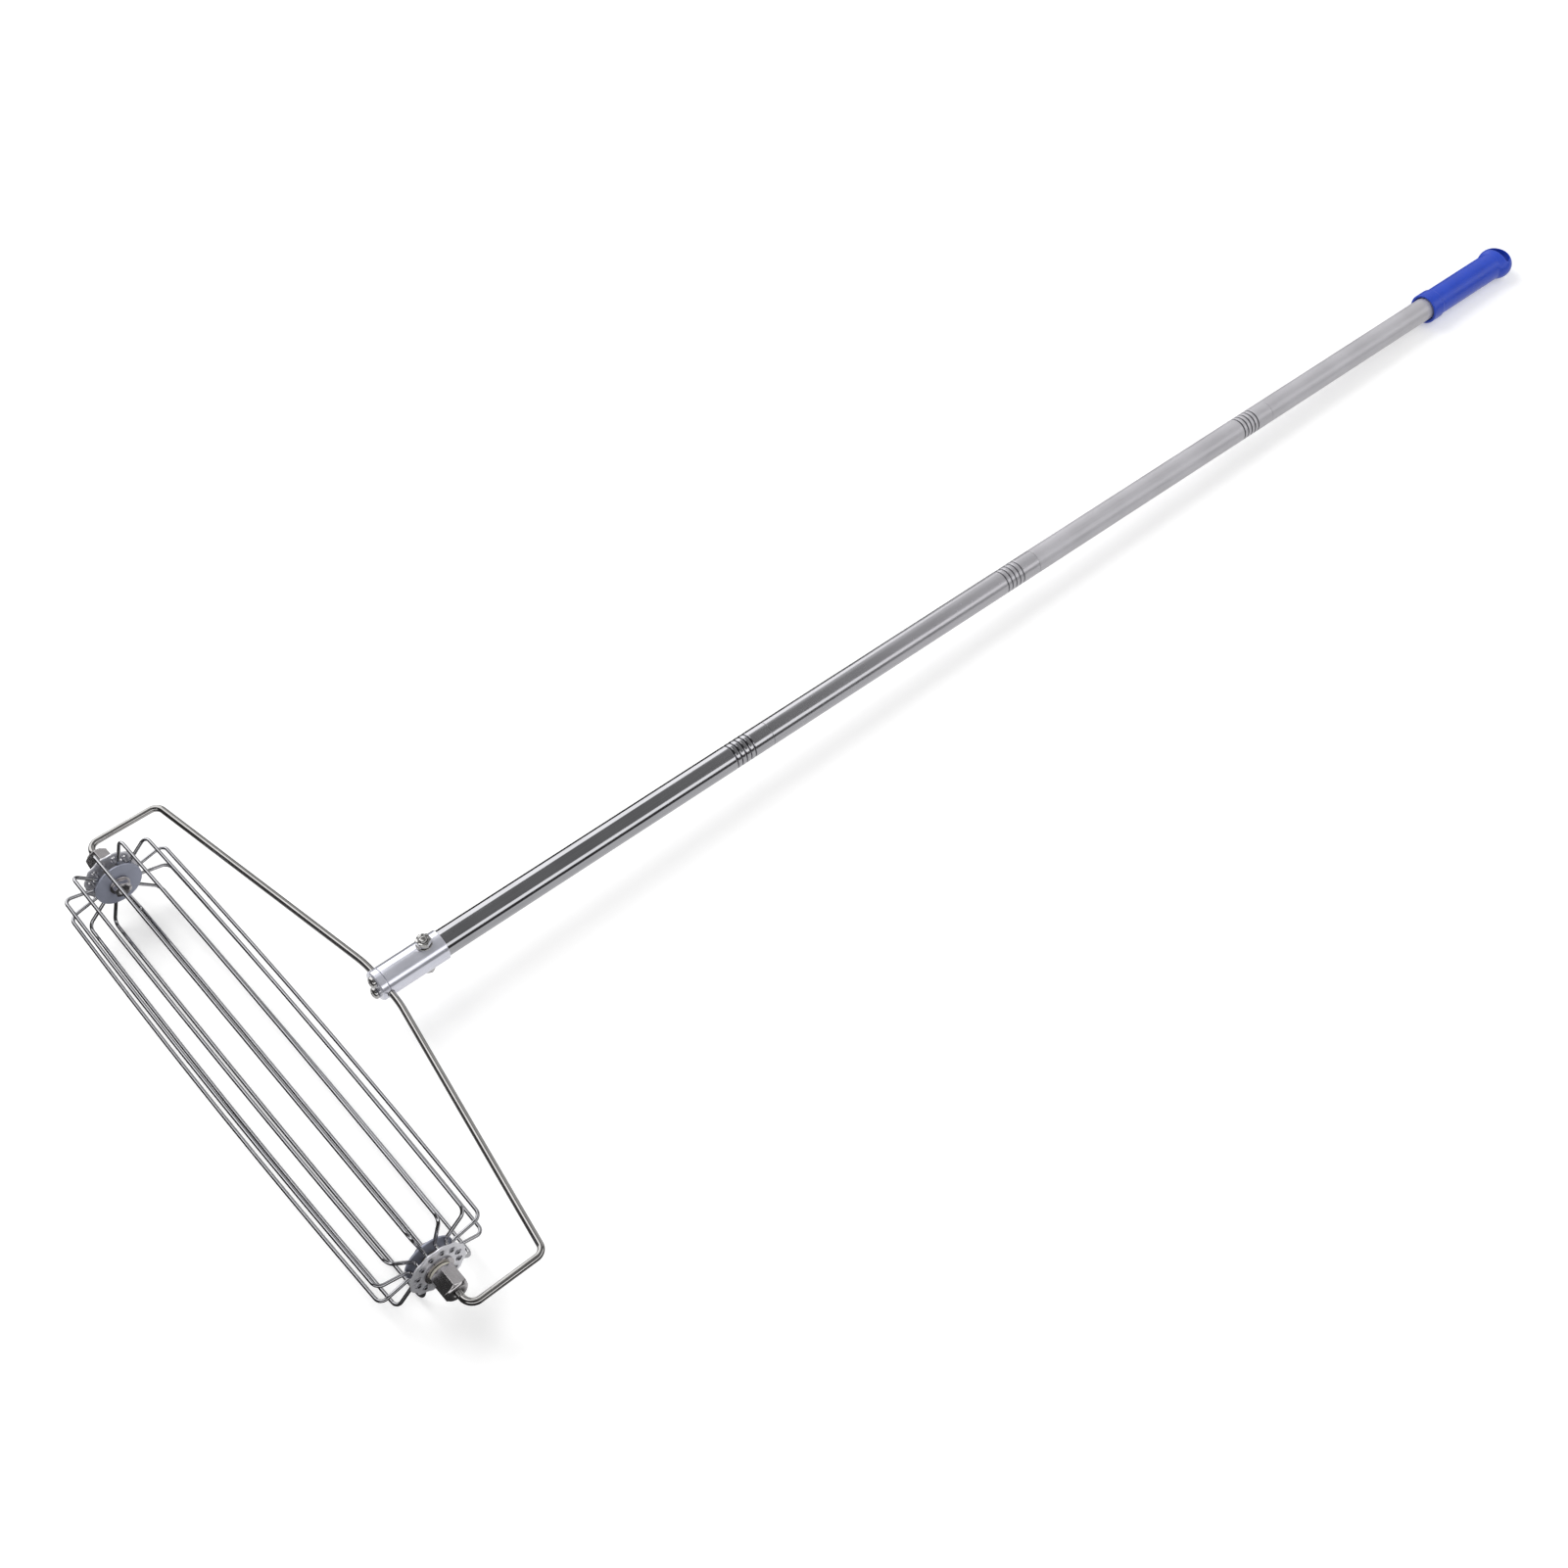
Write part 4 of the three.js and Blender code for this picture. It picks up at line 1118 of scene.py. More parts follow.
@dataclass(frozen=True)
class Drum:
    """The wire cage with the plates and bushes that turn with it."""

    spoke_x: float = 209.75
    hook_end: float = 219.7
    hook_radius: float = 17.0
    hook_bend: float = 3.0
    radius: float = 44.2
    bow: float = 2.8
    bow_steps: int = 28
    spoke_bend: float = 6.0
    wire_radius: float = 1.4
    wires: int = 12
    wire_sides: int = 18
    tip: float = 0.25
    tip_shares: Span = (0.82, 0.96)
    inner_plate: Span = (206.55, 208.05)
    inner_radius: float = 19.5
    bush: Span = (208.35, 216.9)
    bush_radius: float = 7.0
    outer_plate: Span = (217.2, 218.7)
    outer_radius: float = 22.6
    scallop: float = 0.5
    slot_half_width: float = 1.7
    slot_half_length: float = 2.75
    bore: float = 4.2
    rim_sides: int = 192
    bore_sides: int = 48
    slot_sides: int = 24
    ring_ease: float = 0.4
    plate_ease: float = 0.28

    def wire_line(self) -> bpy.types.Mesh:
        """Centre line of one wire, with its distance from the axle as Y.

        Returns:
            A mesh of edges, with the wire's share of its full thickness as an attribute.
        """
        corners = mirrored([(self.hook_end, self.hook_radius),
                            (self.spoke_x, self.hook_radius, self.hook_bend, 6),
                            (self.spoke_x, self.radius, self.spoke_bend, 8)])
        path = bent_path(corners)
        half = len(path) // 2
        end = self.spoke_x - self.spoke_bend
        run = [end * (1 - 2 * k / self.bow_steps) for k in range(1, self.bow_steps)]
        bowed = [Vector((x, self.radius + self.bow * (1 - (x / end) ** 2), 0)) for x in run]
        line = path[:half] + bowed + path[half:]
        tip = Vector((self.tip, 0, 0))
        line = [line[0], line[0] - tip * 0.4, line[0] - tip * 1.4, *line[1:-1],
                line[-1] + tip * 1.4, line[-1] + tip * 0.4, line[-1]]
        shares = [*self.tip_shares, *[1.0] * (len(line) - 4), *reversed(self.tip_shares)]
        made = bpy.data.meshes.new("wire line")
        made.from_pydata(line, [(k, k + 1) for k in range(len(line) - 1)], [])
        made.attributes.new("thin", "FLOAT", "POINT").data.foreach_set("value", shares)
        return made

    def wire_tree(self) -> bpy.types.NodeTree:
        """Tree that gives the wire its thickness and repeats it round the axle.

        Returns:
            The tree.
        """
        tree, start = geometry_tree("drum wires", {"Count": "Int", "Radius": "Float", "Sides": "Int",
                                                   "Material": "Material"})
        given = start.outputs
        line = tree.add("GeometryNodeMeshToCurve", {0: given["Geometry"]})
        ring = tree.circle(given["Sides"], given["Radius"])
        thin = tree.add("GeometryNodeInputNamedAttribute", {"Name": "thin"}, data_type="FLOAT")
        wire = tree.add("GeometryNodeCurveToMesh", {"Curve": line, "Profile Curve": ring, "Scale": thin,
                                                    "Fill Caps": True})
        cage = spread_round(tree, wire, given["Count"], axis=0)
        return end_geometry(tree, cage, given["Material"])

    def plate_tree(self) -> bpy.types.NodeTree:
        """Tree that cuts a scalloped plate with a slot for each wire.

        Returns:
            The tree.
        """
        tree, start = geometry_tree("slotted plate", {"Count": "Int", "Radius": "Float", "Scallop": "Float",
                                                      "Slot Circle": "Float", "Slot Width": "Float",
                                                      "Slot Play": "Float", "Bore": "Float",
                                                      "Thickness": "Float", "Material": "Material"})
        given = start.outputs
        circles = ((self.rim_sides, "Radius"), (self.bore_sides, "Bore"), (self.slot_sides, "Slot Width"))
        rim, bore, ring = (tree.circle(sides, given[name]) for sides, name in circles)
        where = tree.add("GeometryNodeInputPosition")
        across, along, _up = tree.parts(where)
        turn = tree.math("MULTIPLY", tree.math("ARCTAN2", along, across), given["Count"])
        wave = tree.math("COSINE", turn)
        drop = tree.math("DIVIDE", tree.math("MULTIPLY", wave, given["Scallop"]), given["Radius"])
        place = tree.vector("MULTIPLY", where, tree.math("SUBTRACT", 1.0, drop))
        waved = tree.add("GeometryNodeSetPosition", {"Geometry": rim, "Position": place})
        play = tree.math("MULTIPLY", tree.math("SIGN", across), given["Slot Play"])
        slot = tree.add("GeometryNodeSetPosition", {"Geometry": ring, "Offset": tree.axis(0, play)})
        moved = tree.add("GeometryNodeTransform", {"Geometry": slot,
                                                   "Translation": tree.axis(0, given["Slot Circle"])})
        slots = spread_round(tree, moved, given["Count"], axis=2)
        real = tree.add("GeometryNodeRealizeInstances", {0: slots})
        sheet = tree.add("GeometryNodeFillCurve", {"Curve": tree.joined(waved, bore, real)})
        raised = tree.add("GeometryNodeExtrudeMesh", {"Mesh": sheet, "Offset": tree.axis(2, 1.0),
                                                      "Offset Scale": given["Thickness"],
                                                      "Individual": False}, mode="FACES")
        under = tree.add("GeometryNodeFlipFaces", {"Mesh": sheet})
        shut = tree.add("GeometryNodeMergeByDistance", {"Geometry": tree.joined(raised, under),
                                                        "Distance": 0.001})
        return end_geometry(tree, shut, given["Material"])

    def build(self, shop: Workshop) -> None:
        """Makes the drum's pieces.

        Args:
            shop: Takes the finished pieces.
        """
        wire_values = {"Count": self.wires, "Radius": self.wire_radius, "Sides": self.wire_sides,
                       "Material": shop.materials["drum_wire"]}
        cage = grown("drum wires", self.wire_line(), self.wire_tree(), wire_values)
        names = [f"cage_wire_{k:02d}" for k in range(1, self.wires + 1)]
        shop.piece("drum_wires", cage, Body.DRUM, "drum_wire", names, crease=50)
        tree = self.plate_tree()
        low, high = self.outer_plate
        plate_values = {"Count": self.wires, "Radius": self.outer_radius, "Scallop": self.scallop,
                        "Slot Circle": self.hook_radius, "Slot Width": self.slot_half_width,
                        "Slot Play": self.slot_half_length - self.slot_half_width, "Bore": self.bore,
                        "Thickness": high - low, "Material": shop.materials["hub_plate"]}
        rings = [
            ("inner_disc", "hub_plate_inner", self.inner_radius, self.inner_plate, 96, "inner_plate"),
            ("hub_sleeve", "hub_bush", self.bush_radius, self.bush, 64, "bush"),
        ]
        for side in Side:
            turn = side.mirror @ ONTO_AXLE
            blank = bpy.data.meshes.new("plate blank")
            plate = grown("plate", blank, tree, plate_values, rounded_edges(self.plate_ease, degrees=50))
            face_out(plate)
            shop.piece(f"slotted_plate_{side.word}", plate, Body.DRUM, "hub_plate",
                       [f"hub_plate_outer_{side.word}"], turn @ Matrix.Translation((0, 0, low)))
            for name, node, radius, span, sides, slot in rings:
                profile = eased(ring_profile(self.bore, radius, span), self.ring_ease, ring=True)
                shop.piece(f"{name}_{side.word}", turned(profile, even_angles(sides)), Body.DRUM, slot,
                           [f"{node}_{side.word}"], turn)


@dataclass(frozen=True)
class AxleEnds:
    """Bolts, washers, rings and couplings that the drum turns on.

    The coupling's shoulder falls from its corners to its flats between two distances from
    its outer end, and the nose beyond is given by radius and distance from that end.
    """

    head: Span = (199.15, 204.45)
    head_hexagon: Hexagon = Hexagon(13.0, 35.0)
    dimple_depth: float = 0.35
    bolt_radius: float = 3.9
    bolt_end: float = 232.5
    bore: float = 4.2
    head_washer: Span = (204.75, 206.25)
    head_washer_radius: float = 8.5
    thrust_washer: Span = (219.0, 220.5)
    thrust_washer_radius: float = 12.0
    spacer: Span = (220.8, 222.6)
    spacer_radius: float = 8.5
    ring_ease: float = 0.35
    coupling: Span = (222.9, 242.0)
    coupling_hexagon: Hexagon = Hexagon(18.0, 35.0, 0.4, 0.35)
    shoulder: Span = (3.0, 1.86)
    shoulder_steps: int = 8
    nose: tuple[Span, ...] = ((8.85, 1.6), (8.62, 1.2), (8.3, 0.78), (7.9, 0.42), (7.5, 0.15),
                              (7.1, 0.03), (6.6, 0))
    rod_bore: float = 3.05
    bores_meet: float = 233.25

    def bolt(self) -> Skin:
        """Axle bolt: chamfered hexagonal head with a shallow dimple, and shank.

        Returns:
            The skin.
        """
        low, high = self.head
        hexagon = self.head_hexagon
        corner = hexagon.corner()
        floor = low + self.dimple_depth
        r = self.bolt_radius
        profile = [(0, floor), (3.2, floor), (3.7, low + 0.06), (4.4, low),
                   *hexagon.chamfer(low, 1, inset=0.15, extra=0.08),
                   (corner, high - 0.3), (corner - 0.15, high - 0.05), (corner - 0.3, high),
                   (r + 0.9, high), (r, high), (r, high + 0.3), (r, self.bolt_end - 0.8),
                   (r - 0.6, self.bolt_end), (0, self.bolt_end)]
        return turned(profile, hexagon.angles(), hexagon.reach(5.2))

    def joint(self) -> Skin:
        """Hexagonal coupling with its rounded outer end.

        Returns:
            The skin.
        """
        low, high = self.coupling
        hexagon = self.coupling_hexagon
        room = 1.02
        flat, corner = hexagon.flat, hexagon.corner(room)
        steps = self.shoulder_steps
        begin, finish = self.shoulder
        fall = [(corner + (flat - corner) * k / steps, high - begin + (begin - finish) * k / steps)
                for k in range(steps + 1)]
        nose = [(radius, high - off) for radius, off in self.nose]
        narrow, wide = self.rod_bore, self.bore
        bore = [(narrow + 0.75, high), (narrow + 0.5, high - 0.05), (narrow, high - 0.6),
                (narrow, self.bores_meet), (wide, self.bores_meet), (wide, low + 0.4),
                (wide + 0.4, low), (wide + 0.7, low)]
        profile = [*hexagon.chamfer(low, 1, extra=0.06, room=room), (corner, low + 1.6),
                   (corner, high - 3.4), *fall, *nose, *bore]
        return turned(profile, hexagon.angles(), hexagon.reach(flat - 0.5))

    def build(self, shop: Workshop) -> None:
        """Makes the pieces at both ends of the axle.

        Args:
            shop: Takes the finished pieces.
        """
        rings = [
            ("bolt_washer", "bolt_head_washer", self.head_washer_radius, self.head_washer,
             "coupling_steel"),
            ("outer_washer", "thrust_washer", self.thrust_washer_radius, self.thrust_washer,
             "coupling_steel"),
            ("pale_ring", "spacer_ring", self.spacer_radius, self.spacer, "spacer"),
        ]
        for side in Side:
            turn = side.mirror @ ONTO_AXLE
            shop.piece(f"hub_bolt_{side.word}", self.bolt(), Body.HANDLE, "coupling_steel",
                       [f"axle_bolt_{side.word}"], turn, crease=32)
            shop.piece(f"hex_joint_{side.word}", self.joint(), Body.HANDLE, "coupling_steel",
                       [f"hex_coupling_{side.word}"], turn, crease=32)
            for name, node, radius, span, slot in rings:
                profile = eased(ring_profile(self.bore, radius, span), self.ring_ease, ring=True)
                shop.piece(f"{name}_{side.word}", turned(profile, even_angles(72)), Body.HANDLE, slot,
                           [f"{node}_{side.word}"], turn)


@dataclass(frozen=True)
class Yoke:
    """The bent rod with its threaded ends."""

    radius: float = 2.75
    end: float = 234.0
    leg: float = 255.0
    lower_bend: float = 9.0
    leg_height: float = 62.0
    corner_bend: float = 8.0
    flat: float = 102.4
    flat_half: float = 22.0
    flat_bend: float = 100.0
    thread_end: float = 246.0
    thread_pitch: float = 0.8
    thread_depth: float = 0.42
    thread_fade: float = 1.2
    thread_lead: float = 0.6
    lead_drop: float = 0.4
    stations_per_turn: int = 8
    sides: int = 28

    def path(self) -> list[Vector]:
        """Stations along the rod, close together where the thread is.

        Returns:
            Points from one end of the rod to the other.
        """
        line = bent_path(mirrored([(self.end, 0), (self.leg, 0, self.lower_bend, 14),
                                   (self.leg, self.leg_height, self.corner_bend, 12),
                                   (self.flat_half, self.flat, self.flat_bend, 10)]))
        count = round((self.thread_end - self.end) / self.thread_pitch * self.stations_per_turn)
        step = (self.thread_end - self.end) / count
        threads = [Vector((self.end + step * k, 0, 0)) for k in range(count + 1)]
        back = [Vector((-p.x, p.y, 0)) for p in reversed(threads)]
        return threads + line[1:-1] + back

    def rod(self) -> Skin:
        """The whole rod, with a thread at each end.

        Returns:
            The skin.
        """
        line = self.path()

        def reach(station: int, angle: float) -> float:
            """Radius of the rod: plain, or along a helical tooth with a flat crest.

            Args:
                station: Number of the point along the rod.
                angle: Where, in radians round it.

            Returns:
                The radius.
            """
            point = line[station]
            out = abs(point.x)
            if abs(point.y) > 1e-6 or out >= self.thread_end:
                return self.radius
            phase = (out / self.thread_pitch + angle / FULL_TURN) % 1
            tooth = min(abs(2 * phase - 1) * 1.25, 1)
            fade = min(1, (self.thread_end - out) / self.thread_fade)
            lead = min(1, (out - self.end) / self.thread_lead)
            return self.radius - self.thread_depth * (1 - tooth) * fade - self.lead_drop * (1 - lead)

        return swept(line, self.sides, reach)

    def build(self, shop: Workshop) -> None:
        """Makes the rod.

        Args:
            shop: Takes the finished piece.
        """
        shop.piece("bent_rod", self.rod(), Body.HANDLE, "yoke_steel", ["yoke_rod"], crease=48)


@dataclass(frozen=True)
class Clamp:
    """Sleeve and cap that hold the yoke rod and the pole, with their fasteners."""

    yoke: Yoke
    radius: float = 12.4
    socket: float = 11.3
    cap: Span = (96.45, 102.95)
    sleeve: Span = (103.25, 156.0)
    floor: float = 115.15
    groove: float = 3.05
    groove_sides: int = 40
    screw_offset: float = 7.0
    screw_radius: float = 2.0
    screw_head: float = 4.8
    screw_face: float = 92.35
    screw_tip: float = 112.85
    dome_rise: float = 0.62
    dome_steps: int = 10
    recess_depth: float = 2.1
    recess: Span = (3.1, 0.78)
    recess_foot: Span = (1.1, 0.45)
    gap: float = 0.3
    cross_y: float = 142.0
    cross_radius: float = 3.0
    cross_head: Span = (-18.2, -14.2)
    cross_hexagon: Hexagon = Hexagon(10.0, 0.0)
    washer: Span = (12.7, 13.9)
    washer_radius: float = 6.5
    nut: Span = (14.2, 19.2)
    nut_hexagon: Hexagon = Hexagon(11.0, 0.0)
    nut_sink: float = 0.7
    bolt_end: float = 19.8
    body_ease: float = 0.4
    rim_ease: float = 0.35
    sides: int = 128

    def groove_cutter(self) -> Skin:
        """The rod's groove between cap and sleeve."""
        line = bent_path(mirrored([(self.radius + 5.5, self.yoke.flat)]))
        return swept(line, self.groove_sides, lambda station, angle: self.groove)

    def screw_places(self) -> list[Matrix]:
        """Places of the upper and the lower screw, with local Z up the pole."""
        return [Matrix.Translation((0, 0, sign * self.screw_offset)) @ ONTO_POLE for sign in (1, -1)]

    def screw_holes(self, span: Span) -> list[Skin]:
        """The two screw holes over a length."""
        return [rod_skin(self.screw_radius + self.gap, span).placed(place) for place in self.screw_places()]

    def sleeve_mesh(self) -> bpy.types.Mesh:
        """The sleeve, turned and then cut.

        Returns:
            The mesh.
        """
        low, high = self.sleeve
        profile = [(0, low), (self.radius, low), (self.radius, high), (self.socket, high),
                   (self.socket, self.floor), (0, self.floor)]
        body = turned(eased(profile, self.body_ease), even_angles(self.sides)).placed(ONTO_POLE)
        hole = rod_skin(self.cross_radius + self.gap, (-self.radius - 1, self.radius + 1))
        cutters = [self.groove_cutter(), hole.placed(Matrix.Translation((0, self.cross_y, 0))),
                   *self.screw_holes((low - 1, self.screw_tip + self.gap))]
        return carved("socket_sleeve", body, cutters)

    def cap_mesh(self) -> bpy.types.Mesh:
        """The cap, turned and then cut.

        Returns:
            The mesh.
        """
        low, high = self.cap
        profile = [(0, low), (self.radius - 1, low), (self.radius, low + 1), (self.radius, high), (0, high)]
        body = turned(eased(profile, self.rim_ease), even_angles(self.sides)).placed(ONTO_POLE)
        return carved("end_cap", body, [self.groove_cutter(), *self.screw_holes((low - 1, high + 1))])

    def screw_mesh(self) -> bpy.types.Mesh:
        """A round-headed screw with a tapered cross recess.

        Returns:
            The mesh.
        """
        top = self.cap[0] - self.gap
        rise = (top - self.screw_face) * self.dome_rise
        turns = [math.pi / 2 * k / self.dome_steps for k in range(1, self.dome_steps + 1)]
        dome = [(self.screw_head * math.sin(turn), self.screw_face + rise * (1 - math.cos(turn)))
                for turn in turns]
        profile = [(0, self.screw_face), *dome, (self.screw_head, top - 0.3), (self.screw_head - 0.25, top),
                   (self.screw_radius + 0.3, top), (self.screw_radius, top + 0.2),
                   (self.screw_radius, self.screw_tip - 1), (self.screw_radius / 2, self.screw_tip),
                   (0, self.screw_tip)]
        ends = ((self.recess, self.screw_face - 1), (self.recess_foot, self.screw_face + self.recess_depth))
        mouth, foot = ([(x * wide, y * thick, height) for x, y in ((-1, -1), (1, -1), (1, 1), (-1, 1))]
                       for (wide, thick), height in ends)
        blade = block(mouth, foot)
        blades = [blade.placed(Matrix.Rotation(turn, 4, "Z")) for turn in (0, math.pi / 2)]
        return carved("screw", turned(profile, even_angles(96)), blades)

    def top_nut(self) -> Skin:
        """Nut on top of the cross bolt, chamfered at both ends.

        Returns:
            The skin.
        """
        hexagon = self.nut_hexagon
        low, high = self.nut
        bore = self.cross_radius + self.gap
        sunk = bore + self.nut_sink
        profile = [(sunk, low), *hexagon.chamfer(low, 1), *reversed(hexagon.chamfer(high, -1)),
                   (sunk, high), (bore, high - self.nut_sink), (bore, low + self.nut_sink)]
        return turned(profile, hexagon.angles(), hexagon.reach(4.9))

    def through_bolt(self) -> Skin:
        """Cross bolt: head below, shank up through sleeve and tube.

        Returns:
            The skin.
        """
        hexagon = self.cross_hexagon
        corner = hexagon.corner()
        low, high = self.cross_head
        r, end = self.cross_radius, self.bolt_end
        profile = [(0, low), *hexagon.chamfer(low, 1), (corner, high - 0.25), (corner - 0.2, high),
                   (r + 0.6, high), (r, high), (r, high + 0.3), (r, end - 0.8), (r - 0.25, end - 0.35),
                   (r - 0.7, end - 0.06), (r - 1.2, end), (0, end)]
        return turned(profile, hexagon.angles(), hexagon.reach(4.3))

    def build(self, shop: Workshop) -> None:
        """Makes the clamp and its fasteners.

        Args:
            shop: Takes the finished pieces.
        """
        shop.piece("socket_sleeve", self.sleeve_mesh(), Body.HANDLE, "clamp_alloy", ["clamp_sleeve"])
        shop.piece("end_cap", self.cap_mesh(), Body.HANDLE, "clamp_alloy", ["clamp_cap"])
        for word, place in zip(("upper", "lower"), self.screw_places()):
            shop.piece(f"round_head_screw_{word}", self.screw_mesh(), Body.HANDLE, "fastener",
                       [f"cap_screw_{word}"], place)
        across = Matrix.Translation((0, self.cross_y, 0))
        shop.piece("through_bolt", self.through_bolt(), Body.HANDLE, "fastener", ["cross_bolt"], across,
                   crease=32)
        shop.piece("through_bolt_nut", self.top_nut(), Body.HANDLE, "fastener", ["cross_bolt_nut"], across,
                   crease=32)
        bore = self.cross_radius + self.gap
        for word, sign in (("top", 1), ("bottom", -1)):
            span = (sign * self.washer[0], sign * self.washer[1])
            profile = eased(ring_profile(bore, self.washer_radius, span), self.rim_ease, ring=True)
            shop.piece(f"through_washer_{word}", turned(profile, even_angles(64)), Body.HANDLE, "fastener",
                       [f"cross_bolt_washer_{word}"], across)


@dataclass(frozen=True)
class Pole:
    """The four screwed tubes, with grooves rolled round the plugs inside."""

    radius: float = 11.0
    wall: float = 1.2
    start: float = 115.45
    joints: tuple[float, ...] = (478.85, 785.05, 1091.25)
    end: float = 1413.25
    gap: float = 0.3
    grooves: int = 5
    groove_pitch: float = 4.7
    groove_offset: float = 19.5
    groove_depth: float = 0.7
    groove_width: float = 2.6
    end_ease: float = 0.18
    end_margin: float = 0.4
    end_run: float = 12.0
    plain_steps: int = 6
    rolled_step: float = 0.2
    sides: int = 96
    cross_y: float = 142.0
    cross_hole: float = 3.3
    slots: tuple[str, ...] = ("lower_tube", "lower_tube", "upper_tube", "upper_tube")

    def spans(self) -> list[Span]:
        """Lowest and highest point of each tube.

        Returns:
            A pair of heights for each.
        """
        lows = [self.start, *(joint + self.gap / 2 for joint in self.joints)]
        highs = [*(joint - self.gap / 2 for joint in self.joints), self.end]
        return list(zip(lows, highs))

    def line(self, low: float, high: float) -> bpy.types.Mesh:
        """Centre line of a tube, with stations close together at its grooves.

        Args:
            low: Where the tube starts.
            high: Where it ends.

        Returns:
            A mesh of edges.
        """
        rolled = high - self.groove_offset - (self.grooves - 0.5) * self.groove_pitch
        plain = low + self.end_run
        stations = [low, low + self.end_margin, plain]
        steps = self.plain_steps
        stations += [plain + (rolled - plain) * k / steps for k in range(1, steps + 1)]
        count = round(self.grooves * self.groove_pitch / self.rolled_step)
        stations += [rolled + self.rolled_step * k for k in range(1, count + 1)]
        stations += [high - 8, high - self.end_margin, high]
        made = bpy.data.meshes.new("tube line")
        made.from_pydata([(0, y, 0) for y in stations], [(k, k + 1) for k in range(len(stations) - 1)], [])
        return made

    def tube_tree(self) -> bpy.types.NodeTree:
        """Tree that skins a tube and rolls its grooves.

        Returns:
            The tree.
        """
        tree, start = geometry_tree("grooved tube", {"Radius": "Float", "Top": "Float", "Grooves": "Int",
                                                     "Pitch": "Float", "Offset": "Float",
                                                     "Depth": "Float", "Width": "Float", "Sides": "Int",
                                                     "Material": "Material"})
        given = start.outputs
        along = tree.parts(tree.add("GeometryNodeInputPosition"))[1]
        below = tree.math("SUBTRACT", tree.math("SUBTRACT", given["Top"], given["Offset"]), along)
        steps = tree.math("DIVIDE", below, given["Pitch"])
        last = tree.math("SUBTRACT", given["Grooves"], 1.0)
        nearest = tree.math("MINIMUM", tree.math("MAXIMUM", tree.math("ROUND", steps), 0.0), last)
        off = tree.math("ABSOLUTE", tree.math("SUBTRACT", steps, nearest))
        away = tree.math("MULTIPLY", off, given["Pitch"])
        share = tree.math("DIVIDE", away, given["Width"], clamp=True)
        wave = tree.math("COSINE", tree.math("MULTIPLY", tree.math("MINIMUM", share, 0.5), FULL_TURN))
        dip = tree.math("MULTIPLY", tree.math("MULTIPLY_ADD", wave, 0.5, 0.5), given["Depth"])
        scale = tree.math("SUBTRACT", 1.0, tree.math("DIVIDE", dip, given["Radius"]))
        ring = tree.circle(given["Sides"], given["Radius"])
        line = tree.add("GeometryNodeMeshToCurve", {0: given["Geometry"]})
        skin = tree.add("GeometryNodeCurveToMesh", {"Curve": line, "Profile Curve": ring, "Scale": scale,
                                                    "Fill Caps": False})
        return end_geometry(tree, skin, given["Material"])

    def finishing(self, obj: bpy.types.Object) -> None:
        """Gives a tube its wall and breaks the edges of its ends.

        Args:
            obj: The tube's skin.
        """
        wall = obj.modifiers.new("wall", "SOLIDIFY")
        wall.thickness = self.wall
        wall.offset = -1
        wall.use_even_offset = True
        rounded_edges(self.end_ease, degrees=60)(obj)

    def build(self, shop: Workshop) -> None:
        """Makes the tubes.

        Args:
            shop: Takes the finished pieces.
        """
        tree = self.tube_tree()
        for k, ((low, high), slot) in enumerate(zip(self.spans(), self.slots), start=1):
            depth = self.groove_depth if k < len(self.slots) else 0.0
            values = {"Radius": self.radius, "Top": high, "Grooves": self.grooves,
                      "Pitch": self.groove_pitch, "Offset": self.groove_offset, "Depth": depth,
                      "Width": self.groove_width, "Sides": self.sides, "Material": shop.materials[slot]}
            tube = grown(f"tube {k}", self.line(low, high), tree, values, self.finishing)
            face_out(tube)
            if k == 1:
                tube = self.drilled(tube)
            shop.piece(f"tube_{k}", tube, Body.HANDLE, slot, [f"pole_section_{k}"])

    def drilled(self, tube: bpy.types.Mesh) -> bpy.types.Mesh:
        """The first tube with the hole for the cross bolt."""
        hole = rod_skin(self.cross_hole, (-self.radius - 2, self.radius + 2))
        return carved("drilled tube", tube, [hole.placed(Matrix.Translation((0, self.cross_y, 0)))])


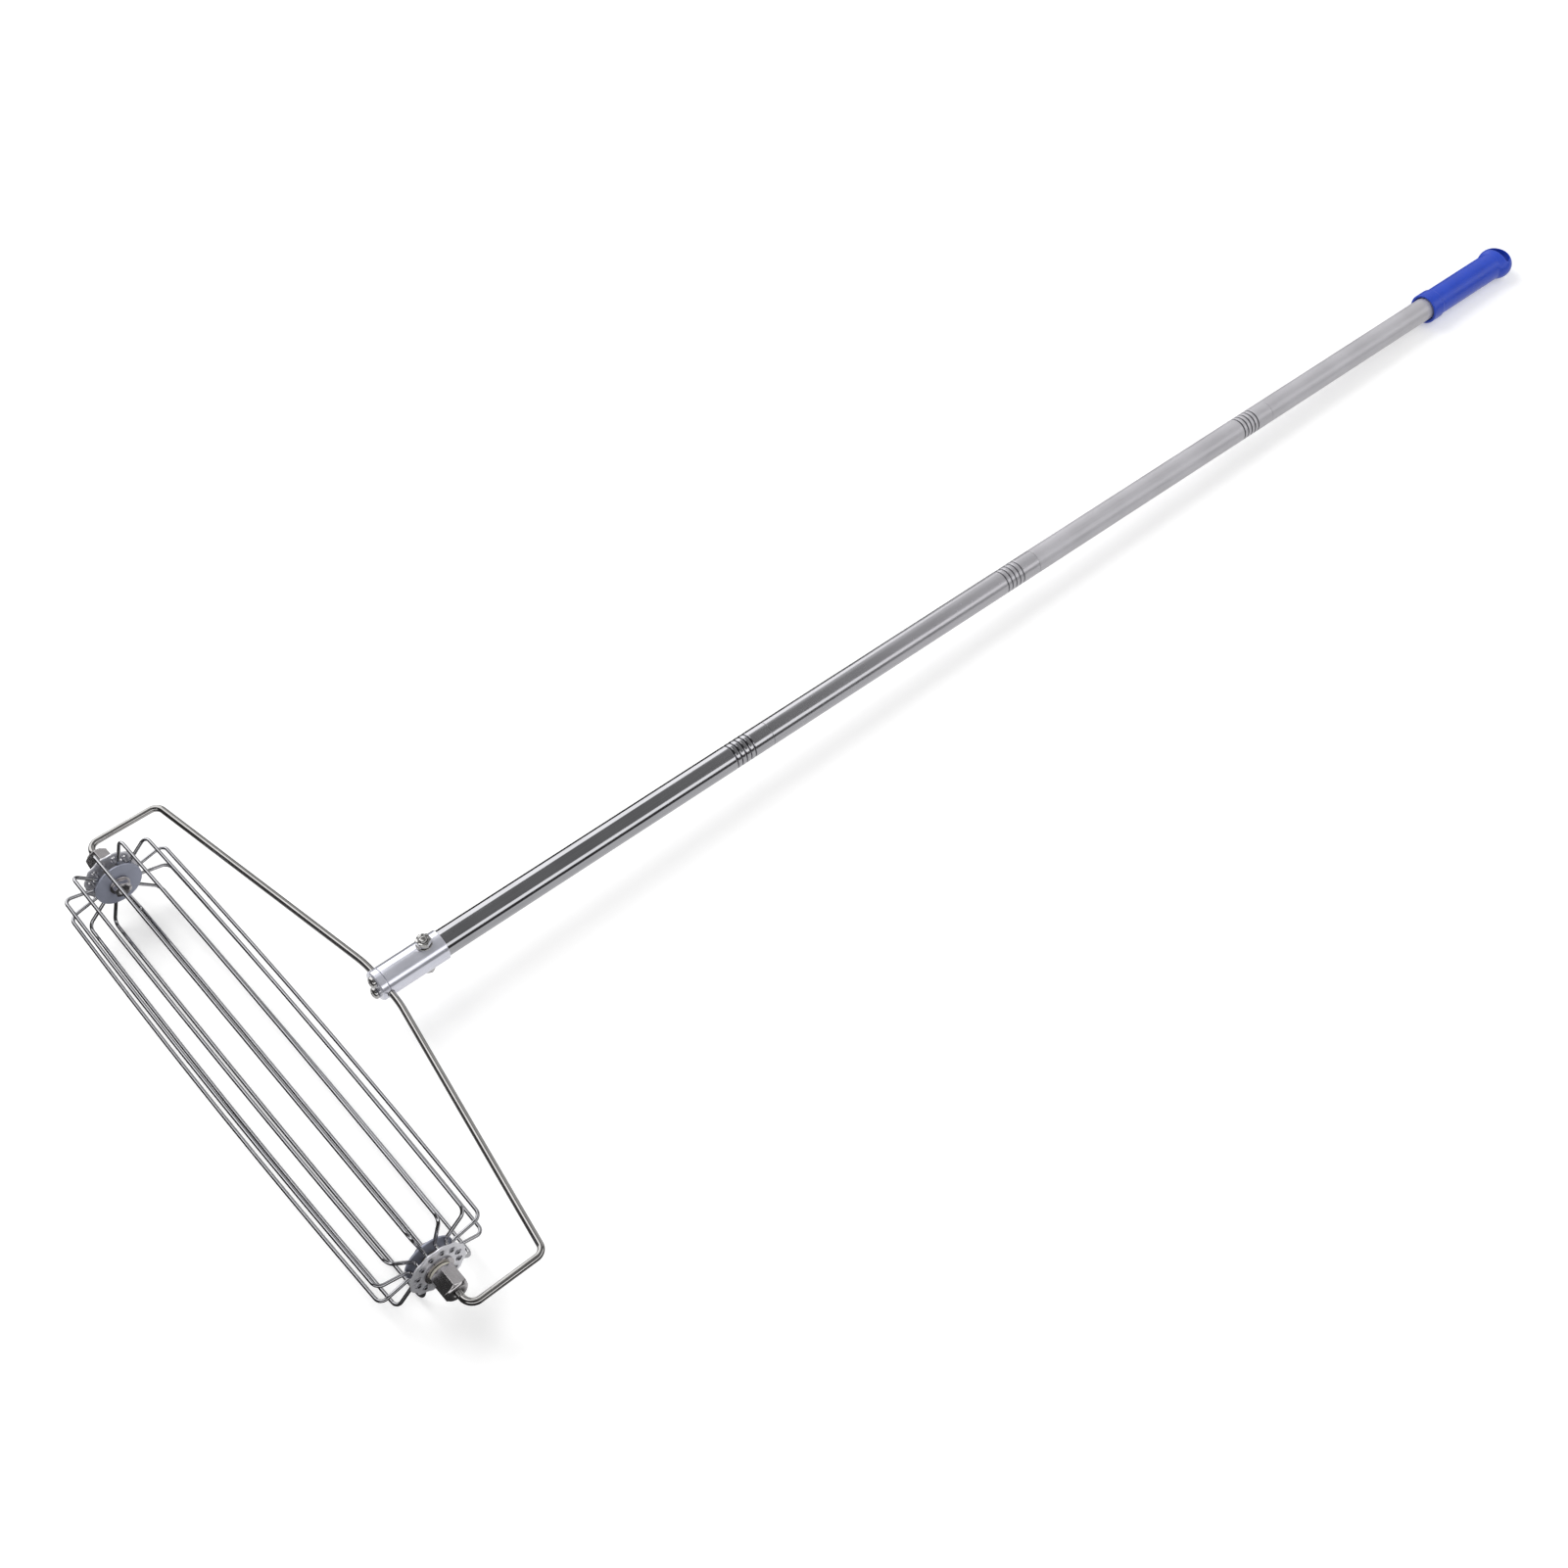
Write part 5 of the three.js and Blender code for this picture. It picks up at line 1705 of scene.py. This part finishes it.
@dataclass(frozen=True)
class Grip:
    """Blue grip: beaded mouth, barrel, and a flattened knob with its hanging hole."""

    mouth: float = 1326.25
    bore_end: float = 1413.55
    bore: float = 11.3
    mouth_radius: float = 12.9
    mouth_depth: float = 2.5
    barrel: float = 13.5
    bead: float = 14.75
    bead_length: float = 15.0
    knob: float = 17.0
    knob_half: float = 14.0
    knob_y: float = 1439.25
    hole: float = 12.6
    hole_corner: float = 2.0
    crease: float = 1.1
    cap_deg: int = 42
    barrel_steps: int = 10
    knob_steps: int = 48
    corner_steps: int = 8
    voxel: float = 0.5
    sides: int = 160

    def knob_reach(self, angle: float, along: float) -> float:
        """Radius of the knob's egg.

        Args:
            angle: Where, in radians round the pole.
            along: Where along the pole.

        Returns:
            The radius, or zero beyond the knob.
        """
        off = (along - self.knob_y) / self.knob
        if abs(off) >= 1:
            return 0.0
        wide = (math.cos(angle) / self.knob_half) ** 2 + (math.sin(angle) / self.knob) ** 2
        return math.sqrt((1 - off * off) / wide)

    def reach(self, radius: float, angle: float, along: float) -> float:
        """Outer radius, with a soft crease where barrel and knob meet.

        Args:
            radius: The profile's radius.
            angle: Where, in radians round the pole.
            along: Where along the pole.

        Returns:
            The radius of the skin.
        """
        if along < self.knob_y - self.knob - 4 or radius < self.barrel - 0.01:
            return radius
        barrel = self.barrel if along < self.knob_y + 2 else 0.0
        knob = self.knob_reach(angle, along)
        mix = max(self.crease - abs(barrel - knob), 0) / self.crease
        return max(barrel, knob) + mix * mix * self.crease / 4

    def body(self) -> Skin:
        """Barrel and knob as one turned skin, bored for the tube.

        Returns:
            The skin.
        """
        step = self.bead - self.barrel
        bead_end = self.mouth + self.bead_length
        inside = [(0, self.bore_end), (self.bore - 0.8, self.bore_end), (self.bore, self.bore_end - 0.8),
                  (self.bore, self.mouth + self.mouth_depth)]
        bead = [(self.mouth_radius, self.mouth), (self.bead - step / 2, self.mouth),
                (self.bead - 0.15, self.mouth + 0.3), (self.bead, self.mouth + step / 2),
                (self.bead, bead_end - step), (self.bead - 0.25, bead_end - step * 0.75),
                (self.barrel + 0.2, bead_end - 0.15), (self.barrel, bead_end)]
        low = self.knob_y - self.knob - 1
        heights = [bead_end + 4 + 8 * k for k in range(self.barrel_steps)]
        heights += [low + 0.6 * k for k in range(1, self.knob_steps)]
        heights += [self.knob_y + self.knob * math.sin(math.radians(a)) for a in range(self.cap_deg, 90, 2)]
        profile = [*inside, *bead, *((self.barrel, height) for height in heights),
                   (0, self.knob_y + self.knob)]
        return turned(profile, even_angles(self.sides), self.reach)

    def hole_skin(self) -> Skin:
        """The hanging hole: straight towards the pole, round towards the tip.

        Returns:
            The skin of what is cut away.
        """
        inset = math.asin(self.hole_corner / (self.hole - self.hole_corner))
        centre = (self.hole - self.hole_corner) * math.cos(inset)
        corner = []
        for k in range(self.corner_steps + 1):
            angle = -math.pi / 2 + (inset + math.pi / 2) * k / self.corner_steps
            corner.append((centre + self.hole_corner * math.cos(angle),
                           self.hole_corner + self.hole_corner * math.sin(angle)))
        turns = [inset + (math.pi - 2 * inset) * k / self.knob_steps for k in range(1, self.knob_steps)]
        arc = [(self.hole * math.cos(angle), self.hole * math.sin(angle)) for angle in turns]
        outline = [*corner, *arc, *((-x, y) for x, y in reversed(corner))]
        count = len(outline)
        skin = Skin()
        for height in (-self.knob * 1.5, self.knob * 1.5):
            skin.corners += [Vector((x, self.knob_y + y, height)) for x, y in outline]
        skin.faces = [tuple(range(count)), tuple(range(count, 2 * count))]
        skin.faces += [(k, (k + 1) % count, (k + 1) % count + count, k + count) for k in range(count)]
        return skin

    def smoothing(self, obj: bpy.types.Object) -> None:
        """Melts the cut solid into one moulded skin with soft edges.

        Args:
            obj: The solid.
        """
        melt = obj.modifiers.new("moulded skin", "REMESH")
        melt.mode = "VOXEL"
        melt.voxel_size = self.voxel
        ease = obj.modifiers.new("soft edges", "SMOOTH")
        ease.factor = 0.5
        ease.iterations = 3

    def build(self, shop: Workshop) -> None:
        """Makes the grip.

        Args:
            shop: Takes the finished piece.
        """
        body = self.body().placed(ONTO_POLE)
        grip = carved("hand_grip", body, [self.hole_skin()], finishing=self.smoothing)
        shop.piece("hand_grip", grip, Body.HANDLE, "grip", ["grip"], crease=80)


# -------------------------------------------------------------------------- studio


@dataclass(frozen=True)
class Lamp:
    """A soft lamp that only matt surfaces feel: its direction, width in metres and power."""

    name: str
    toward: Triple
    size: float
    watts: float
    distance: float = 4.0

    def hang(self) -> None:
        """Hangs the lamp, facing the object."""
        data = bpy.data.lights.new(self.name, "AREA")
        data.size = self.size
        data.energy = self.watts
        made = bpy.data.objects.new(self.name, data)
        bpy.context.scene.collection.objects.link(made)
        direction = Vector(self.toward).normalized()
        facing = direction.to_track_quat("Z", "Y").to_matrix().to_4x4()
        made.matrix_world = Matrix.Translation(direction * self.distance) @ facing
        made.visible_glossy = False
        made.visible_camera = False


@dataclass(frozen=True)
class Card:
    """A round bright card in the surroundings.

    It stands toward a direction, starts and is full at two angles from it, and has a level.
    """

    toward: Triple
    degrees: Span
    level: float

    def brightness(self, tree: Tree, way: Any) -> bpy.types.Node:
        """The card as mirrors see it.

        Args:
            tree: The world's tree.
            way: Socket of the direction looked in.

        Returns:
            Node with the card's brightness.
        """
        middle = tuple(Vector(self.toward).normalized())
        facing = tree.vector("DOT_PRODUCT", way, middle).outputs["Value"]
        wide, narrow = (math.cos(math.radians(angle)) for angle in self.degrees)
        return tree.ramp(facing, wide, narrow, 0.0, self.level)


@dataclass(frozen=True)
class Studio:
    """Camera, floor, lamps and the surroundings that metal mirrors.

    The camera stands in the tool's own millimetres. Ranges in the surroundings are parts
    of a direction, and ranges on the floor are metres.
    """

    lie: Lie
    camera_place: Triple = (872.02, -274.37, 1348.14)
    camera_turn_deg: Triple = (39.203, -0.623, 49.195)
    lens: float = 49.80
    sensor: float = 36.0
    clip_end: float = 50.0
    lamps: tuple[Lamp, ...] = (Lamp("key", (-0.6, -0.2, 0.77), 2.5, 90),
                               Lamp("fill", (0.5, 0.3, 0.8), 3.5, 40))
    cards: tuple[Card, ...] = (Card((-0.9, 0.0, 0.3), (36.0, 31.0), 1.9),
                               Card((-0.5, 0.8, 0.36), (34.0, 26.0), 0.62),
                               Card((-0.473, -0.1, 0.875), (22.0, 16.0), 1.9))
    strip_deg: tuple[float, float, float, float] = (13.0, 16.0, 33.0, 37.0)
    strip_from: Span = (0.1, 0.35)
    strip_level: float = 1.7
    overhead_from: Span = (0.1, 0.3)
    overhead_level: float = 0.24
    front: Span = (-0.25, 0.2)
    front_share: float = 0.2
    horizon_level: float = 0.06
    ground_to: Span = (-0.2, -0.1)
    plain_level: float = 0.55
    pale_level: float = 0.8
    dark_level: float = 0.05
    dark_before: Span = (-0.7, -0.68)
    dark_left: Span = (-0.05, -0.01)
    dark_behind: Span = (-0.62, -0.56)
    dark_far: Span = (0.22, 0.4)
    floor_colour: float = 0.8
    floor_size: float = 14.0
    floor_lift: float = 0.33
    floor_fade: Span = (1.0, 2.5)

    def camera(self) -> None:
        """Stands the camera where the photograph was taken from."""
        data = bpy.data.cameras.new("photo view")
        data.lens = self.lens
        data.sensor_width = self.sensor
        data.clip_end = self.clip_end
        made = bpy.data.objects.new("photo view", data)
        bpy.context.scene.collection.objects.link(made)
        turn = Euler([math.radians(angle) for angle in self.camera_turn_deg]).to_matrix()
        facing = (Matrix.Rotation(-self.lie.slope, 3, "X") @ turn).to_4x4()
        place = self.lie.of(Body.HANDLE) @ Vector(self.camera_place)
        made.matrix_world = Matrix.Translation(place) @ facing
        bpy.context.scene.camera = made

    def mirrored_room(self, tree: Tree) -> bpy.types.Node:
        """Brightness of the surroundings in metal: cards and a strip over a dim room.

        Args:
            tree: The world's tree.

        Returns:
            Node with the brightness.
        """
        way = tree.add("ShaderNodeTexCoord").outputs["Generated"]
        across, along, height = tree.parts(way)
        cards = [card.brightness(tree, way) for card in self.cards]
        low, inner, upper, high = (math.sin(math.radians(angle)) for angle in self.strip_deg)
        strip = tree.math("MULTIPLY", tree.ramp(height, low, inner),
                          tree.ramp(height, upper, high, 1.0, 0.0))
        side = tree.ramp(across, *self.strip_from, 0.0, self.strip_level)
        overhead = tree.math("MULTIPLY", tree.ramp(along, *self.front, self.front_share, 1.0),
                             self.overhead_level)
        ceiling = tree.ramp(height, *self.overhead_from, self.horizon_level, overhead)
        ground = tree.ramp(height, *self.ground_to, self.pale_level, self.horizon_level)
        base = tree.math("ADD", ceiling, tree.math("SUBTRACT", ground, self.horizon_level))
        return tree.largest(*cards, tree.math("MULTIPLY", strip, side), base)

    def world(self) -> None:
        """White to the camera, plain to matt surfaces, and a studio to mirrors."""
        made = bpy.data.worlds.new("studio")
        made.use_nodes = True
        bpy.context.scene.world = made
        tree = Tree(made.node_tree)
        path = tree.add("ShaderNodeLightPath")
        mirror = tree.largest(path.outputs["Is Glossy Ray"], path.outputs["Is Transmission Ray"])
        level = tree.add("ShaderNodeMix", {"Factor_Float": mirror, "A_Float": self.plain_level,
                                           "B_Float": self.mirrored_room(tree)})
        seen = tree.add("ShaderNodeMix", {"Factor_Float": path.outputs["Is Camera Ray"], "A_Float": level,
                                          "B_Float": 1.0})
        light = tree.add("ShaderNodeBackground", {"Color": (1, 1, 1, 1), "Strength": seen})
        tree.add("ShaderNodeOutputWorld", {"Surface": light})

    def mirrored_floor(self, tree: Tree) -> bpy.types.Node:
        """Brightness of the floor in metal: dark before the drum, left of the pole and far off.

        Args:
            tree: The floor's tree.

        Returns:
            Node with the brightness.
        """
        across, along, _up = tree.parts(tree.add("ShaderNodeTexCoord").outputs["Object"])
        before = tree.ramp(along, *self.dark_before, 1.0, 0.0)
        left = tree.ramp(across, *self.dark_left, 1.0, 0.0)
        behind = tree.ramp(along, *self.dark_behind)
        far = tree.ramp(across, *self.dark_far)
        dark = tree.largest(before, far, tree.math("MULTIPLY", left, behind))
        return tree.ramp(dark, 0.0, 1.0, self.pale_level, self.dark_level)

    def floor(self) -> None:
        """Lays a plain pale floor that the camera sees as white."""
        made = bpy.data.materials.new("pale floor")
        made.use_nodes = True
        tree = Tree(made.node_tree)
        path = tree.add("ShaderNodeLightPath")
        matt = tree.add("ShaderNodeBsdfDiffuse", {"Color": (*(self.floor_colour,) * 3, 1)})
        reach = tree.length(tree.add("ShaderNodeTexCoord").outputs["Object"])
        pale = tree.ramp(reach, *self.floor_fade, self.floor_lift, 1.0)
        lift = tree.math("MULTIPLY", path.outputs["Is Camera Ray"], pale)
        glow = tree.add("ShaderNodeEmission", {"Color": (1, 1, 1, 1), "Strength": lift})
        both = tree.add("ShaderNodeAddShader", {0: matt, 1: glow})
        image = tree.add("ShaderNodeEmission", {"Color": (1, 1, 1, 1),
                                                "Strength": self.mirrored_floor(tree)})
        shown = tree.add("ShaderNodeMixShader", {0: path.outputs["Is Glossy Ray"], 1: both, 2: image})
        tree.add("ShaderNodeOutputMaterial", {"Surface": shown})
        half = self.floor_size / 2
        corners = [(-half, -half, 0), (half, -half, 0), (half, half, 0), (-half, half, 0)]
        mesh = bpy.data.meshes.new("studio_floor")
        mesh.from_pydata(corners, [], [(0, 1, 2, 3)])
        mesh.materials.append(made)
        new_object("studio_floor", mesh)

    def build(self) -> None:
        """Sets up camera, lamps, surroundings and floor."""
        self.camera()
        for lamp in self.lamps:
            lamp.hang()
        self.world()
        self.floor()
        bpy.context.scene.view_settings.view_transform = "Standard"


def dress_plugs(materials: dict[str, bpy.types.Material]) -> None:
    """Gives the threaded plugs inside the tubes their finish.

    Args:
        materials: The finishes by slot.
    """
    for kind in ("thread_socket", "thread_stud"):
        for k in (1, 2, 3):
            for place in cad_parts[f"{kind}_{k}"].material_slots:
                place.material = materials["plug"]


def main() -> None:
    """Builds the tool and its studio."""
    logging.basicConfig(level=logging.INFO, format="%(name)s: %(message)s")
    low, high = (Vector(corner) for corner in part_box("hex_coupling_right"))
    axle = Vector((0, (low.y + high.y) / 2, (low.z + high.z) / 2))
    grip = Grip()
    lie = Lie(axle, grip.knob_y, grip.knob_half)
    effects = Effects()
    materials = {slot: finish.material(slot, lie, effects) for slot, finish in FINISHES.items()}
    shop = Workshop(lie, materials)
    yoke = Yoke()
    for part in (Drum(), AxleEnds(), yoke, Clamp(yoke), Pole(), grip):
        part.build(shop)
    dress_plugs(materials)
    Studio(lie).build()


if __name__ == "__main__":
    main()
